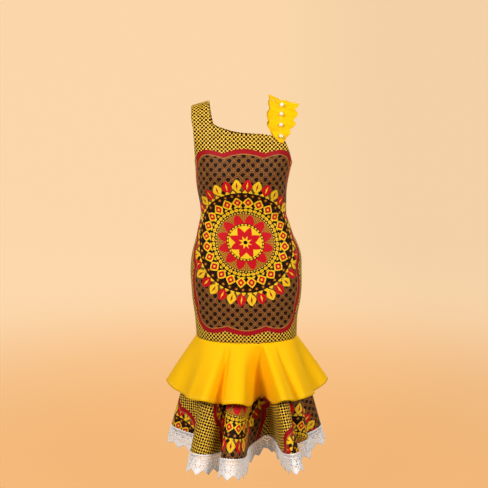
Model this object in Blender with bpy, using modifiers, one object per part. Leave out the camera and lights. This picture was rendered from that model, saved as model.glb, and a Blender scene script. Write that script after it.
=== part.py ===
"""A sleeveless wax-print dress, hollow, in the form that it has when it is worn.

The unit is the metre. +X is the viewer's right, which is the wearer's left,
-Y is the front and +Z is up. The origin is between the shoulders, level with
the top of the straps, because that is where the dress is held up.

A place on the fitted body is given by a level, which counts the rows of
SECTIONS from the shoulder down, and a turn, which is zero at the middle and
a quarter turn at each side. A place on a flounce is given by its share of the
way round the hem and its share of the way from the seam down to the hem.
"""
import math
from collections import namedtuple

import bmesh
import bpy

# Cloth
WALL = 0.0016
LACE_WALL = 0.0012
SEAM_GAP = 0.0004
SHOULDER_GAP = 0.0006
STRAP_FOOT_GAP = 0.0008

# Fitted body. The exponent of a section is 2 for an ellipse, more for a squarer one.
# Below the slope weights the shoulders fall away to each side by SHOULDER_SLOPE.
ROUNDNESS = 2.35
SHOULDER_SLOPE = 0.306
SHOULDER_FLAT = 0.05
SHOULDER_REACH = 0.116

Section = namedtuple("Section", "z half_width centre front back slope")
SECTIONS = [
    Section(0.000, 0.2150, 0.0000, 0.000, 0.000, 1.00),
    Section(-0.004, 0.2150, 0.0000, 0.022, 0.022, 1.00),
    Section(-0.014, 0.2150, 0.0000, 0.040, 0.040, 1.00),
    Section(-0.032, 0.2140, 0.0000, 0.056, 0.056, 0.98),
    Section(-0.055, 0.2110, 0.0000, 0.069, 0.070, 0.85),
    Section(-0.080, 0.2030, 0.0000, 0.081, 0.082, 0.60),
    Section(-0.110, 0.1890, 0.0000, 0.092, 0.092, 0.35),
    Section(-0.140, 0.1740, -0.0005, 0.102, 0.099, 0.15),
    Section(-0.165, 0.1615, -0.0010, 0.110, 0.102, 0.05),
    Section(-0.190, 0.1505, -0.0015, 0.117, 0.102, 0.00),
    Section(-0.235, 0.1436, -0.0054, 0.123, 0.098, 0.00),
    Section(-0.272, 0.1390, -0.0064, 0.115, 0.091, 0.00),
    Section(-0.310, 0.1351, -0.0032, 0.101, 0.084, 0.00),
    Section(-0.348, 0.1336, -0.0013, 0.093, 0.081, 0.00),
    Section(-0.379, 0.1417, 0.0007, 0.094, 0.088, 0.00),
    Section(-0.414, 0.1516, 0.0030, 0.098, 0.100, 0.00),
    Section(-0.440, 0.1612, 0.0060, 0.101, 0.109, 0.00),
    Section(-0.478, 0.1722, 0.0074, 0.104, 0.121, 0.00),
    Section(-0.529, 0.1756, 0.0065, 0.105, 0.127, 0.00),
    Section(-0.578, 0.1746, 0.0080, 0.106, 0.123, 0.00),
    Section(-0.620, 0.1716, 0.0078, 0.108, 0.117, 0.00),
    Section(-0.676, 0.1631, 0.0070, 0.110, 0.112, 0.00),
    Section(-0.739, 0.1602, 0.0083, 0.112, 0.112, 0.00),
]
SEAM_LEVEL = len(SECTIONS) - 1
UNDERARM_LEVEL = 9

# Edges of the body pieces above the underarm, as x at each height. Where an armhole's x
# lies outside the body, the piece ends at its side seam.
Edge = namedtuple("Edge", "z right_armhole strap_inner left_armhole")
EDGES = [
    Edge(0.000, -0.1610, -0.1070, 0.1410),
    Edge(-0.030, -0.1600, -0.1050, 0.1410),
    Edge(-0.055, -0.1580, -0.1010, 0.1410),
    Edge(-0.072, -0.1545, -0.0975, 0.1410),
    Edge(-0.090, -0.1530, -0.0960, 0.1300),
    Edge(-0.117, -0.1516, -0.0950, 0.1210),
    Edge(-0.140, -0.1508, -0.0950, 0.1330),
    Edge(-0.161, -0.1502, -0.0950, 0.1403),
    Edge(-0.178, -0.1500, -0.0950, 0.1445),
    Edge(-0.190, -0.1530, -0.0950, 0.1500),
    Edge(-0.193, -0.3000, -0.0950, 0.3000),
]

# The neckline, the same in front and behind: it runs down the inner edge of the wide
# strap to a corner and from there across to the left armhole.
NECK_CORNER_Z = -0.072
NeckPoint = namedtuple("NeckPoint", "x z")
NECKLINE = [
    NeckPoint(-0.0975, -0.0720),
    NeckPoint(-0.0850, -0.0800),
    NeckPoint(-0.0630, -0.0880),
    NeckPoint(-0.0270, -0.0985),
    NeckPoint(0.0090, -0.1020),
    NeckPoint(0.0440, -0.1040),
    NeckPoint(0.0800, -0.1065),
    NeckPoint(0.0950, -0.1125),
    NeckPoint(0.1210, -0.1170),
]

# Left strap and its ruffle, by height above the front or back neckline
StrapRow = namedtuple("StrapRow", "z inner outer")
LEFT_STRAP = [
    StrapRow(0.000, 0.0910, 0.1310),
    StrapRow(-0.055, 0.0910, 0.1270),
    StrapRow(-0.090, 0.0925, 0.1235),
    StrapRow(-0.117, 0.0955, 0.1205),
]
RuffleRow = namedtuple("RuffleRow", "z middle inner_width outer_width")
RUFFLE = [
    RuffleRow(0.000, 0.1120, 0.0360, 0.0480),
    RuffleRow(-0.030, 0.1105, 0.0345, 0.0440),
    RuffleRow(-0.060, 0.1085, 0.0365, 0.0400),
    RuffleRow(-0.082, 0.1075, 0.0340, 0.0330),
    RuffleRow(-0.100, 0.1075, 0.0260, 0.0240),
    RuffleRow(-0.115, 0.1080, 0.0150, 0.0150),
    RuffleRow(-0.127, 0.1110, 0.0040, 0.0040),
]
RUFFLE_CLEARANCE = 0.0006
RUFFLE_FLAT_SHARE = 0.22
RUFFLE_INNER_LIFT = 0.0046
RUFFLE_OUTER_LIFT = 0.0075
RUFFLE_WAVES = 5.2
RUFFLE_WAVE_CROWDING = 0.62
RUFFLE_WAVE_HEIGHT = 0.0046
RUFFLE_WAVE_REACH = 0.0045

PEARL_RADIUS = 0.006
PEARL_HEIGHTS = [-0.021, -0.046, -0.077, -0.109]

# Flounces, seen from above. Each row is one flute: its crest with the turn of its middle
# and half width in degrees from the front towards +X, then the valley after it. Reach is
# the distance of the hem from the middle of the body, lean is how many degrees the
# valley's hem lies ahead of its top, and length is the length of cloth at the flute.
Flute = namedtuple("Flute", "crest crest_half crest_reach valley valley_reach lean length")
UPPER_FLUTES = [
    Flute(-89, 6, 0.253, -67, 0.218, 0, 0.181),
    Flute(-42, 8, 0.226, -28, 0.160, 0, 0.185),
    Flute(-11, 8, 0.215, 19, 0.087, 16, 0.187),
    Flute(32, 6, 0.230, 43, 0.204, 0, 0.185),
    Flute(59, 7, 0.230, 75, 0.218, 0, 0.183),
    Flute(90, 5, 0.257, 108, 0.182, 0, 0.181),
    Flute(125, 5, 0.238, 143, 0.168, 0, 0.184),
    Flute(162, 6, 0.240, 182, 0.158, 0, 0.186),
    Flute(200, 5, 0.240, 219, 0.168, 0, 0.186),
    Flute(237, 5, 0.238, 253, 0.180, 0, 0.184),
]
LOWER_FLUTES = [
    Flute(-92, 7, 0.238, -64, 0.176, 0, 0.318),
    Flute(-42, 8, 0.232, -28, 0.144, 0, 0.345),
    Flute(-12, 7, 0.238, 19, 0.067, 45, 0.345),
    Flute(36, 6, 0.245, 49, 0.170, 0, 0.340),
    Flute(63, 5, 0.212, 75, 0.192, 0, 0.326),
    Flute(92, 6, 0.238, 110, 0.164, 0, 0.322),
    Flute(127, 5, 0.242, 144, 0.152, 0, 0.334),
    Flute(163, 6, 0.246, 182, 0.142, 0, 0.338),
    Flute(200, 5, 0.246, 219, 0.152, 0, 0.338),
    Flute(237, 5, 0.242, 252, 0.162, 0, 0.330),
]
LOWER_INSET = 0.0021

# Hem lace, measured down from its upper edge
LACE_ROWS = [0.0, 0.014, 0.026]
LACE_POINT_DEPTH = 0.060
LACE_NOTCH_DEPTH = 0.043
SCALLOP_WIDTH = 0.040
SCALLOP_COLUMNS = 4

# Mesh fineness
PANEL_HALF_COLUMNS = 10
STRAP_COLUMNS = 5
ROWS_BELOW_ARM = 13
CHEST_ROWS = 7
STRAP_ROWS = 7
FLOUNCE_COLUMN = 0.0175
FLOUNCE_ROWS = 3

WAX_PRINT = (0.45, 0.22, 0.035)
YELLOW = (0.98, 0.55, 0.004)
WHITE = (0.85, 0.78, 0.74)
PEARL = (0.85, 0.76, 0.62)


def mix(start, end, share):
    return start + (end - start) * share


def smooth(share):
    share = min(max(share, 0.0), 1.0)
    return share * share * (3 - 2 * share)


def signed_power(value, power):
    return math.copysign(abs(value) ** power, value)


def spline(before, start, end, after, share):
    """One value on a smooth curve from start to end, with its neighbours on both sides."""
    slope_start = (end - before) / 2
    slope_end = (after - start) / 2
    square = share * share
    cube = square * share
    return (
        start * (2 * cube - 3 * square + 1)
        + slope_start * (cube - 2 * square + share)
        + end * (3 * square - 2 * cube)
        + slope_end * (cube - square)
    )


def look_up(rows, z, column):
    """A column of a table whose rows run down in z, read at any height."""
    if z >= rows[0].z:
        return getattr(rows[0], column)
    for upper, lower in zip(rows, rows[1:]):
        if z >= lower.z:
            share = (upper.z - z) / (upper.z - lower.z)
            return mix(getattr(upper, column), getattr(lower, column), share)
    return getattr(rows[-1], column)


def section_at(level):
    """The body's section at a level. The top one mirrors front to back."""
    index = min(int(level), SEAM_LEVEL - 1)
    share = level - index
    start, end = SECTIONS[index], SECTIONS[index + 1]
    after = SECTIONS[min(index + 2, SEAM_LEVEL)]
    if index > 0:
        before = SECTIONS[index - 1]
    else:
        before = end._replace(front=-end.front, back=-end.back)
    return Section(*[spline(*values, share) for values in zip(before, start, end, after)])


def section_x(section, turn):
    return section.centre + section.half_width * signed_power(math.sin(turn), 2 / ROUNDNESS)


def turn_of_x(section, x):
    share = (x - section.centre) / section.half_width
    share = min(max(share, -1.0), 1.0)
    return math.asin(signed_power(share, ROUNDNESS / 2))


def body_point(level, turn, side):
    """A point of the body's outer face. side is -1 in front and 1 behind."""
    section = section_at(level)
    depth = section.front if side < 0 else section.back
    x = section_x(section, turn)
    fall = SHOULDER_SLOPE * (math.hypot(x, SHOULDER_FLAT) - SHOULDER_REACH)
    y = side * depth * abs(math.cos(turn)) ** (2 / ROUNDNESS)
    return [x, y, section.z - section.slope * fall]


def level_of_z(z, turn_at):
    """The level at which a line down the body, given by its turn at each level, reaches z."""
    above, below = 0.0, float(SEAM_LEVEL)
    for _ in range(40):
        middle = (above + below) / 2
        if body_point(middle, turn_at(middle), -1)[2] > z:
            above = middle
        else:
            below = middle
    return (above + below) / 2


def neck_z(x):
    if x <= NECKLINE[0].x:
        return NECKLINE[0].z
    for start, end in zip(NECKLINE, NECKLINE[1:]):
        if x <= end.x:
            return mix(start.z, end.z, (x - start.x) / (end.x - start.x))
    return NECKLINE[-1].z


def column_turn(column, level):
    """The turn of a column of the panels, from the right armhole to the left one."""
    section = section_at(level)
    right = turn_of_x(section, look_up(EDGES, section.z, "right_armhole"))
    left = turn_of_x(section, look_up(EDGES, section.z, "left_armhole"))
    strap = turn_of_x(section, look_up(EDGES, section.z, "strap_inner"))
    evenness = smooth((NECK_CORNER_Z - section.z) / (NECK_CORNER_Z - SECTIONS[UNDERARM_LEVEL].z))
    strap = mix(strap, right * (1 - STRAP_COLUMNS / PANEL_HALF_COLUMNS), evenness)
    if column <= STRAP_COLUMNS:
        return mix(right, strap, column / STRAP_COLUMNS)
    if column <= PANEL_HALF_COLUMNS:
        share = (column - STRAP_COLUMNS) / (PANEL_HALF_COLUMNS - STRAP_COLUMNS)
        return mix(strap, 0.0, share)
    return left * (column - PANEL_HALF_COLUMNS) / PANEL_HALF_COLUMNS


def neck_level(column):
    """The level at which a column meets the neckline."""
    def turn_at(level):
        return column_turn(column, level)
    z = NECK_CORNER_Z
    for _ in range(8):
        level = level_of_z(z, turn_at)
        if column <= STRAP_COLUMNS:
            break
        z = neck_z(section_x(section_at(level), turn_at(level)))
    return level


def material(name, colour, roughness):
    finish = bpy.data.materials.new(name)
    finish.use_nodes = True
    shader = finish.node_tree.nodes["Principled BSDF"]
    shader.inputs["Base Color"].default_value = (*colour, 1.0)
    shader.inputs["Roughness"].default_value = roughness
    return finish


def cloth_piece(name, bm, finish, wall=WALL, outward=False):
    """Turn an open surface into a wall of cloth that grows inwards, or outwards."""
    mesh = bpy.data.meshes.new(name)
    bm.to_mesh(mesh)
    bm.free()
    mesh.materials.append(finish)
    mesh.shade_smooth()
    piece = bpy.data.objects.new(name, mesh)
    collection.objects.link(piece)
    shell = piece.modifiers.new("wall", "SOLIDIFY")
    shell.thickness = wall
    shell.offset = 1.0 if outward else -1.0
    return piece


def grid(columns, rows, place, is_open=None):
    """A grid whose corners are put in place by a function of column and row.

    is_open says for the column and row of a face whether it is left out.
    """
    bm = bmesh.new()
    bmesh.ops.create_grid(bm, x_segments=columns, y_segments=rows, size=0.5)
    left_out = []
    for face in bm.faces:
        middle = face.calc_center_median()
        column = int((middle.x + 0.5) * columns)
        row = int((middle.y + 0.5) * rows)
        if is_open and is_open(column, row):
            left_out.append(face)
    for vert in bm.verts:
        column = round((vert.co.x + 0.5) * columns)
        row = round((vert.co.y + 0.5) * rows)
        vert.co = place(column, row)
    bmesh.ops.delete(bm, geom=left_out, context="FACES")
    return bm


def body_panel(name, side, first_column, last_column, finish):
    """A front or back panel from the hip seam up to the neckline, with the wide strap."""
    neck_levels = {column: neck_level(column) for column in range(first_column, last_column + 1)}
    has_strap = first_column < STRAP_COLUMNS
    neck_row = ROWS_BELOW_ARM + CHEST_ROWS
    rows = neck_row + (STRAP_ROWS if has_strap else 0)
    middle_step = SEAM_GAP / 2 if first_column == PANEL_HALF_COLUMNS else -SEAM_GAP / 2

    def place(column, row):
        column += first_column
        top = neck_levels[column]
        if row <= ROWS_BELOW_ARM:
            level = mix(SEAM_LEVEL, UNDERARM_LEVEL, row / ROWS_BELOW_ARM)
        elif row <= neck_row:
            level = mix(UNDERARM_LEVEL, top, (row - ROWS_BELOW_ARM) / CHEST_ROWS)
        else:
            level = mix(top, 0.0, (row - neck_row) / STRAP_ROWS)
        point = body_point(level, column_turn(column, level), side)
        edge_gap = SHOULDER_GAP if level < 0.5 else SEAM_GAP
        point[1] = side * max(side * point[1], edge_gap / 2)
        if side > 0 and column == PANEL_HALF_COLUMNS:
            point[0] += middle_step
        return point

    def is_open(column, row):
        return row >= neck_row and column + first_column >= STRAP_COLUMNS

    bm = grid(last_column - first_column, rows, place, is_open)
    if side > 0:
        bmesh.ops.reverse_faces(bm, faces=bm.faces)
    return cloth_piece(name, bm, finish)


def shoulder_path(share, end_level):
    """Level and side on a path from the front over the shoulder to the back."""
    if share <= 0.5:
        return mix(end_level, 0.0, share * 2), -1
    return mix(0.0, end_level, share * 2 - 1), 1


def strap_level(x):
    """The level just above the neckline at x."""
    def turn_at(level):
        return turn_of_x(section_at(level), x)
    return level_of_z(neck_z(x) + STRAP_FOOT_GAP, turn_at)


def left_strap(finish, columns=4, rows=20):
    """The narrow strap, from the front neckline over the shoulder to the back one."""
    foot = LEFT_STRAP[-1]

    def place(column, row):
        across = column / columns
        end_level = strap_level(mix(foot.inner, foot.outer, across))
        level, side = shoulder_path(row / rows, end_level)
        section = section_at(level)
        inner = look_up(LEFT_STRAP, section.z, "inner")
        outer = look_up(LEFT_STRAP, section.z, "outer")
        turn = turn_of_x(section, mix(inner, outer, across))
        return body_point(level, turn, side)

    return cloth_piece("left_strap", grid(columns, rows, place), finish)


def body_normal(level, turn, side):
    """The outward direction of the body's face, from two short steps along it."""
    step = 0.01
    here = body_point(level, turn, side)
    across = [b - a for a, b in zip(here, body_point(level, turn + step, side))]
    down = [b - a for a, b in zip(here, body_point(level + step, turn, side))]
    normal = [
        across[1] * down[2] - across[2] * down[1],
        across[2] * down[0] - across[0] * down[2],
        across[0] * down[1] - across[1] * down[0],
    ]
    size = math.hypot(*normal)
    return [side * value / size for value in normal]


def raised_point(level, x, side, height):
    """A point above the body's face, or above its shoulder line, at x."""
    turn = turn_of_x(section_at(level), x)
    point = body_point(level, turn, side)
    normal = body_normal(max(level, 0.02), turn, side)
    return [value + part * height for value, part in zip(point, normal)]


def ruffle_end_level():
    foot = RUFFLE[-1]
    return level_of_z(foot.z, lambda level: turn_of_x(section_at(level), foot.middle))


def ruffle_point(across, along, end_level):
    """A point of the ruffle's under face. across runs from -1 to 1, along from 0 to 1."""
    level, side = shoulder_path(along, end_level)
    z = section_at(level).z
    middle = look_up(RUFFLE, z, "middle")
    width = look_up(RUFFLE, z, "inner_width" if across < 0 else "outer_width")
    from_tip = 1 - abs(2 * along - 1)
    phase = math.pi * 2 * RUFFLE_WAVES * from_tip ** RUFFLE_WAVE_CROWDING
    wave = math.cos(phase) if across < 0 else -math.cos(phase)
    free = max(abs(across) - RUFFLE_FLAT_SHARE, 0.0) / (1 - RUFFLE_FLAT_SHARE)
    room = smooth(from_tip * 4)
    lift = RUFFLE_INNER_LIFT if across < 0 else RUFFLE_OUTER_LIFT
    height = RUFFLE_CLEARANCE + free * room * (lift + RUFFLE_WAVE_HEIGHT * wave)
    x = middle + across * (width + RUFFLE_WAVE_REACH * wave * room * free)
    return raised_point(level, x, side, height)


def strap_ruffle(finish, columns=8, rows=54):
    """The gathered ruffle, flat along its stitched middle and waved at both edges."""
    end_level = ruffle_end_level()

    def place(column, row):
        return ruffle_point(2 * column / columns - 1, row / rows, end_level)

    return cloth_piece("strap_ruffle", grid(columns, rows, place), finish, outward=True)


def pearl(index, height, finish):
    """One pearl, seated on the ruffle's middle line in front."""
    def turn_at(level):
        return turn_of_x(section_at(level), look_up(RUFFLE, height, "middle"))
    level = level_of_z(height, turn_at)
    x = look_up(RUFFLE, section_at(level).z, "middle")
    seat = RUFFLE_CLEARANCE + WALL + SEAM_GAP + PEARL_RADIUS
    bm = bmesh.new()
    bmesh.ops.create_uvsphere(bm, u_segments=10, v_segments=7, radius=PEARL_RADIUS)
    name = "pearl_{}".format(index)
    mesh = bpy.data.meshes.new(name)
    bm.to_mesh(mesh)
    bm.free()
    mesh.materials.append(finish)
    mesh.shade_smooth()
    bead = bpy.data.objects.new(name, mesh)
    bead.location = raised_point(level, x, -1, seat)
    collection.objects.link(bead)


def seam_reach(turn, inset):
    """Distance of the hip seam from the middle of the body, in one direction."""
    seam = SECTIONS[-1]
    across = abs(math.sin(turn)) / (seam.half_width - inset)
    along = abs(math.cos(turn)) / (seam.front - inset)
    return (across ** ROUNDNESS + along ** ROUNDNESS) ** (-1 / ROUNDNESS)


Knot = namedtuple("Knot", "turn hem_x hem_y length")


def hem_knots(flutes):
    """Three knots for each flute: the two sides of its crest, then its valley."""
    knots = []
    for flute in flutes:
        for turn, reach, lean in (
            (flute.crest - flute.crest_half, flute.crest_reach, 0),
            (flute.crest + flute.crest_half, flute.crest_reach, 0),
            (flute.valley, flute.valley_reach, flute.lean),
        ):
            aim = math.radians(turn + lean)
            knots.append(Knot(turn, reach * math.sin(aim), -reach * math.cos(aim), flute.length))
    return knots


def hem_place(knots, knot):
    """The hem at a knot number, which may be a fraction: turn of its top, plan point, length."""
    index = math.floor(knot)
    around = []
    for offset in (-1, 0, 1, 2):
        lap, place = divmod(index + offset, len(knots))
        around.append(knots[place]._replace(turn=knots[place].turn + 360 * lap))
    return Knot(*[spline(*values, knot - index) for values in zip(*around)])


def flounce_point(knots, knot, inset, share, beyond=0.0):
    """A point at a share of the cloth's length down from the seam, and then beyond it."""
    hem = hem_place(knots, knot)
    turn = math.radians(hem.turn)
    reach = seam_reach(turn, inset)
    seam_x, seam_y = reach * math.sin(turn), -reach * math.cos(turn)
    out_x, out_y = hem.hem_x - seam_x, hem.hem_y - seam_y
    fall = math.sqrt(hem.length ** 2 - out_x ** 2 - out_y ** 2)
    share += beyond / hem.length
    seam = SECTIONS[-1]
    x = seam.centre + seam_x + out_x * share
    return [x, seam_y + out_y * share, seam.z - SEAM_GAP - fall * share]


def even_knots(knots, first, last, columns):
    """Knot numbers for columns that are evenly spaced along the hem."""
    steps = round(60 * (last - first))
    fractions = [mix(first, last, step / steps) for step in range(steps + 1)]
    points = [hem_place(knots, fraction)[1:3] for fraction in fractions]
    run = [0.0]
    for start, end in zip(points, points[1:]):
        run.append(run[-1] + math.dist(start, end))
    chosen = []
    step = 0
    for column in range(columns + 1):
        target = run[-1] * column / columns
        while step < steps - 1 and run[step + 1] < target:
            step += 1
        share = (target - run[step]) / (run[step + 1] - run[step])
        chosen.append(mix(fractions[step], fractions[step + 1], share))
    return chosen, run[-1]


def trimmed_knots(knots, first, last, columns):
    """Even knots whose ends are drawn in, so that two halves stay parted at a side seam."""
    chosen, hem_length = even_knots(knots, first, last, columns)
    trim = 0.6 * SEAM_GAP / hem_length * (last - first)
    chosen[0] += trim
    chosen[-1] -= trim
    return chosen


def side_knots(flutes):
    """Knots of the right side seam, the left one and the right one again.

    Each seam lies where a flute's wall is straight, halfway from a crest to a valley.
    """
    left_flute = next(index for index, flute in enumerate(flutes) if flute.crest > 80)
    return -0.5, 3 * left_flute + 1.5, 3 * len(flutes) - 0.5


def flounce_half(name, flutes, first, last, inset, finish):
    knots = hem_knots(flutes)
    _, hem_length = even_knots(knots, first, last, 1)
    columns = round(hem_length / FLOUNCE_COLUMN)
    chosen = trimmed_knots(knots, first, last, columns)

    def place(column, row):
        return flounce_point(knots, chosen[column], inset, 1 - row / FLOUNCE_ROWS)

    return cloth_piece(name, grid(columns, FLOUNCE_ROWS, place), finish)


def lace_half(name, first, last, finish):
    """Half of the hem lace, with a pointed scallop and two gaps in each repeat."""
    knots = hem_knots(LOWER_FLUTES)
    _, hem_length = even_knots(knots, first, last, 1)
    scallops = round(hem_length / SCALLOP_WIDTH)
    columns = scallops * SCALLOP_COLUMNS
    chosen = trimmed_knots(knots, first, last, columns)
    rows = len(LACE_ROWS)

    def place(column, row):
        if row == 0:
            to_point = abs((column / SCALLOP_COLUMNS) % 1 - 0.5) * 2
            depth = mix(LACE_POINT_DEPTH, LACE_NOTCH_DEPTH, to_point)
        else:
            depth = LACE_ROWS[rows - row]
        return flounce_point(knots, chosen[column], LOWER_INSET, 1.0, SEAM_GAP + depth)

    def is_open(column, row):
        return row == 1 and column % 2 == 1

    return cloth_piece(name, grid(columns, rows, place, is_open), finish, wall=LACE_WALL)


def build():
    print_cotton = material("wax_print_cotton", WAX_PRINT, 0.7)
    yellow_cloth = material("yellow_scuba", YELLOW, 0.55)
    lace_cord = material("guipure_lace", WHITE, 0.8)
    pearl_coat = material("pearl_coat", PEARL, 0.25)

    middle = PANEL_HALF_COLUMNS
    body_panel("front_panel", -1, 0, 2 * middle, print_cotton)
    body_panel("back_right_panel", 1, 0, middle, print_cotton)
    body_panel("back_left_panel", 1, middle, 2 * middle, print_cotton)
    left_strap(print_cotton)
    strap_ruffle(yellow_cloth)
    for index, height in enumerate(PEARL_HEIGHTS, start=1):
        pearl(index, height, pearl_coat)

    for layer, flutes, inset, finish in (
        ("upper_flounce", UPPER_FLUTES, 0.0, yellow_cloth),
        ("lower_flounce", LOWER_FLUTES, LOWER_INSET, print_cotton),
    ):
        right, left, right_again = side_knots(flutes)
        flounce_half(layer + "_front", flutes, right, left, inset, finish)
        flounce_half(layer + "_back", flutes, left, right_again, inset, finish)
    lace_half("hem_lace_front", right, left, lace_cord)
    lace_half("hem_lace_back", left, right_again, lace_cord)


for old in list(bpy.data.objects):
    bpy.data.objects.remove(old)
collection = bpy.data.collections.new("ankara_wax_print_dress")
bpy.context.scene.collection.children.link(collection)
build()
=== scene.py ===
# %% [markdown]
# # An ankara wax print dress
#
# A sleeveless dress in the form that it has when it is worn: a fitted sheath of wax
# print cotton, a yellow flounce and a printed flounce at its foot, white guipure lace
# along the hem, and a yellow ruffle with four pearls on one strap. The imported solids
# give each piece its place, and each piece of cloth is made again here as a thin shell
# on the same form, with its print, folds, hems and stitches.

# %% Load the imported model
import math
from collections import namedtuple

import bmesh
import bpy
from mathutils import Matrix, Vector


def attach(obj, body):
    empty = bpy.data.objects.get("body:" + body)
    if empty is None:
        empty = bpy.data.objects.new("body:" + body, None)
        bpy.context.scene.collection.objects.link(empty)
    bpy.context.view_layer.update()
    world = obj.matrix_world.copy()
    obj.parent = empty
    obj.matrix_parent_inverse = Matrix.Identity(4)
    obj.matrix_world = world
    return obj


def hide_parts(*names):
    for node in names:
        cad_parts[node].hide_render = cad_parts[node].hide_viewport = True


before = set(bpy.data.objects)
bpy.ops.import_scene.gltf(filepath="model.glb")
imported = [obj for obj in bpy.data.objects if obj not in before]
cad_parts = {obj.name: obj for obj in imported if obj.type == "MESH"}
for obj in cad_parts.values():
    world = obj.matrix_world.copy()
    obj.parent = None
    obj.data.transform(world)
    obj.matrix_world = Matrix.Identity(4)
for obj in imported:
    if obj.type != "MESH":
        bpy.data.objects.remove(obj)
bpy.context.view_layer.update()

# %% [markdown]
# ## Camera
#
# A dress is photographed from chest height with a short telephoto lens, so that the hem
# isn't seen much from above and the flounces keep their width. The camera stands 2.4 m
# away and looks a little down.

# %% Camera
CAMERA_PLACE = Vector((0.0, -2.4, -0.05))
CAMERA_AIM = Vector((0.0, 0.0, -0.446))

camera_data = bpy.data.cameras.new("camera")
camera_data.lens = 56.97
camera_data.sensor_width = 36.0
camera = bpy.data.objects.new("camera", camera_data)
camera.location = CAMERA_PLACE
camera.rotation_euler = (CAMERA_AIM - CAMERA_PLACE).to_track_quat("-Z", "Y").to_euler()
bpy.context.scene.collection.objects.link(camera)
bpy.context.scene.camera = camera
print("Camera", round((CAMERA_AIM - CAMERA_PLACE).length, 2), "m from what it looks at")

# %% [markdown]
# ## The body's form
#
# A dressmaker knows a body by its girths at a few heights. The table below does the
# same: each row is one section of the fitted part, and a smooth curve runs through the
# rows. A place on the body is then a level, which counts the rows from the shoulder
# down, and a turn, which is zero at the middle and a quarter turn at each side. One
# function for the whole surface is why the panels, the straps and the ruffle all fit.

# %% Sizes of the fitted body, in metres
WALL = 0.0016
SEAM_GAP = 0.0004
STRAP_FOOT_GAP = 0.0008
ROUNDNESS = 2.35
SHOULDER_SLOPE = 0.306
SHOULDER_FLAT = 0.05
SHOULDER_REACH = 0.116

Section = namedtuple("Section", "z half_width centre front back slope")
SECTIONS = [
    Section(0.000, 0.2150, 0.0000, 0.000, 0.000, 1.00),
    Section(-0.004, 0.2150, 0.0000, 0.022, 0.022, 1.00),
    Section(-0.014, 0.2150, 0.0000, 0.040, 0.040, 1.00),
    Section(-0.032, 0.2140, 0.0000, 0.056, 0.056, 0.98),
    Section(-0.055, 0.2110, 0.0000, 0.069, 0.070, 0.85),
    Section(-0.080, 0.2030, 0.0000, 0.081, 0.082, 0.60),
    Section(-0.110, 0.1890, 0.0000, 0.092, 0.092, 0.35),
    Section(-0.140, 0.1740, -0.0005, 0.102, 0.099, 0.15),
    Section(-0.165, 0.1615, -0.0010, 0.110, 0.102, 0.05),
    Section(-0.190, 0.1505, -0.0015, 0.117, 0.102, 0.00),
    Section(-0.235, 0.1436, -0.0054, 0.123, 0.098, 0.00),
    Section(-0.272, 0.1390, -0.0064, 0.115, 0.091, 0.00),
    Section(-0.310, 0.1351, -0.0032, 0.101, 0.084, 0.00),
    Section(-0.348, 0.1336, -0.0013, 0.093, 0.081, 0.00),
    Section(-0.379, 0.1417, 0.0007, 0.094, 0.088, 0.00),
    Section(-0.414, 0.1516, 0.0030, 0.098, 0.100, 0.00),
    Section(-0.440, 0.1612, 0.0060, 0.101, 0.109, 0.00),
    Section(-0.478, 0.1722, 0.0074, 0.104, 0.121, 0.00),
    Section(-0.529, 0.1756, 0.0065, 0.105, 0.127, 0.00),
    Section(-0.578, 0.1746, 0.0080, 0.106, 0.123, 0.00),
    Section(-0.620, 0.1716, 0.0078, 0.108, 0.117, 0.00),
    Section(-0.676, 0.1631, 0.0070, 0.110, 0.112, 0.00),
    Section(-0.739, 0.1602, 0.0083, 0.112, 0.112, 0.00),
]
SEAM_LEVEL = len(SECTIONS) - 1
UNDERARM_LEVEL = 9

Edge = namedtuple("Edge", "z right_armhole strap_inner left_armhole")
EDGES = [
    Edge(0.000, -0.1610, -0.1070, 0.1410),
    Edge(-0.030, -0.1600, -0.1050, 0.1410),
    Edge(-0.055, -0.1580, -0.1010, 0.1410),
    Edge(-0.072, -0.1545, -0.0975, 0.1410),
    Edge(-0.090, -0.1530, -0.0960, 0.1300),
    Edge(-0.117, -0.1516, -0.0950, 0.1210),
    Edge(-0.140, -0.1508, -0.0950, 0.1330),
    Edge(-0.161, -0.1502, -0.0950, 0.1403),
    Edge(-0.178, -0.1500, -0.0950, 0.1445),
    Edge(-0.190, -0.1530, -0.0950, 0.1500),
    Edge(-0.193, -0.3000, -0.0950, 0.3000),
]

NECK_CORNER_Z = -0.072
NeckPoint = namedtuple("NeckPoint", "x z")
NECKLINE = [
    NeckPoint(-0.0975, -0.0720),
    NeckPoint(-0.0850, -0.0800),
    NeckPoint(-0.0630, -0.0880),
    NeckPoint(-0.0270, -0.0985),
    NeckPoint(0.0090, -0.1020),
    NeckPoint(0.0440, -0.1040),
    NeckPoint(0.0800, -0.1065),
    NeckPoint(0.0950, -0.1125),
    NeckPoint(0.1210, -0.1170),
]
print(len(SECTIONS), "sections of the body, from the shoulders to the hip seam")

# %% Small helpers for numbers and tables
def mix(start, end, share):
    return start + (end - start) * share


def smooth(share):
    share = min(max(share, 0.0), 1.0)
    return share * share * (3 - 2 * share)


def signed_power(value, power):
    return math.copysign(abs(value) ** power, value)


def spline(before, start, end, after, share):
    """One value on a smooth curve from start to end, with its neighbours on both sides."""
    slope_start = (end - before) / 2
    slope_end = (after - start) / 2
    square = share * share
    cube = square * share
    return (
        start * (2 * cube - 3 * square + 1)
        + slope_start * (cube - 2 * square + share)
        + end * (3 * square - 2 * cube)
        + slope_end * (cube - square)
    )


def look_up(rows, z, column):
    """A column of a table whose rows run down in z, read at any height."""
    if z >= rows[0].z:
        return getattr(rows[0], column)
    for upper, lower in zip(rows, rows[1:]):
        if z >= lower.z:
            share = (upper.z - z) / (upper.z - lower.z)
            return mix(getattr(upper, column), getattr(lower, column), share)
    return getattr(rows[-1], column)


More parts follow.
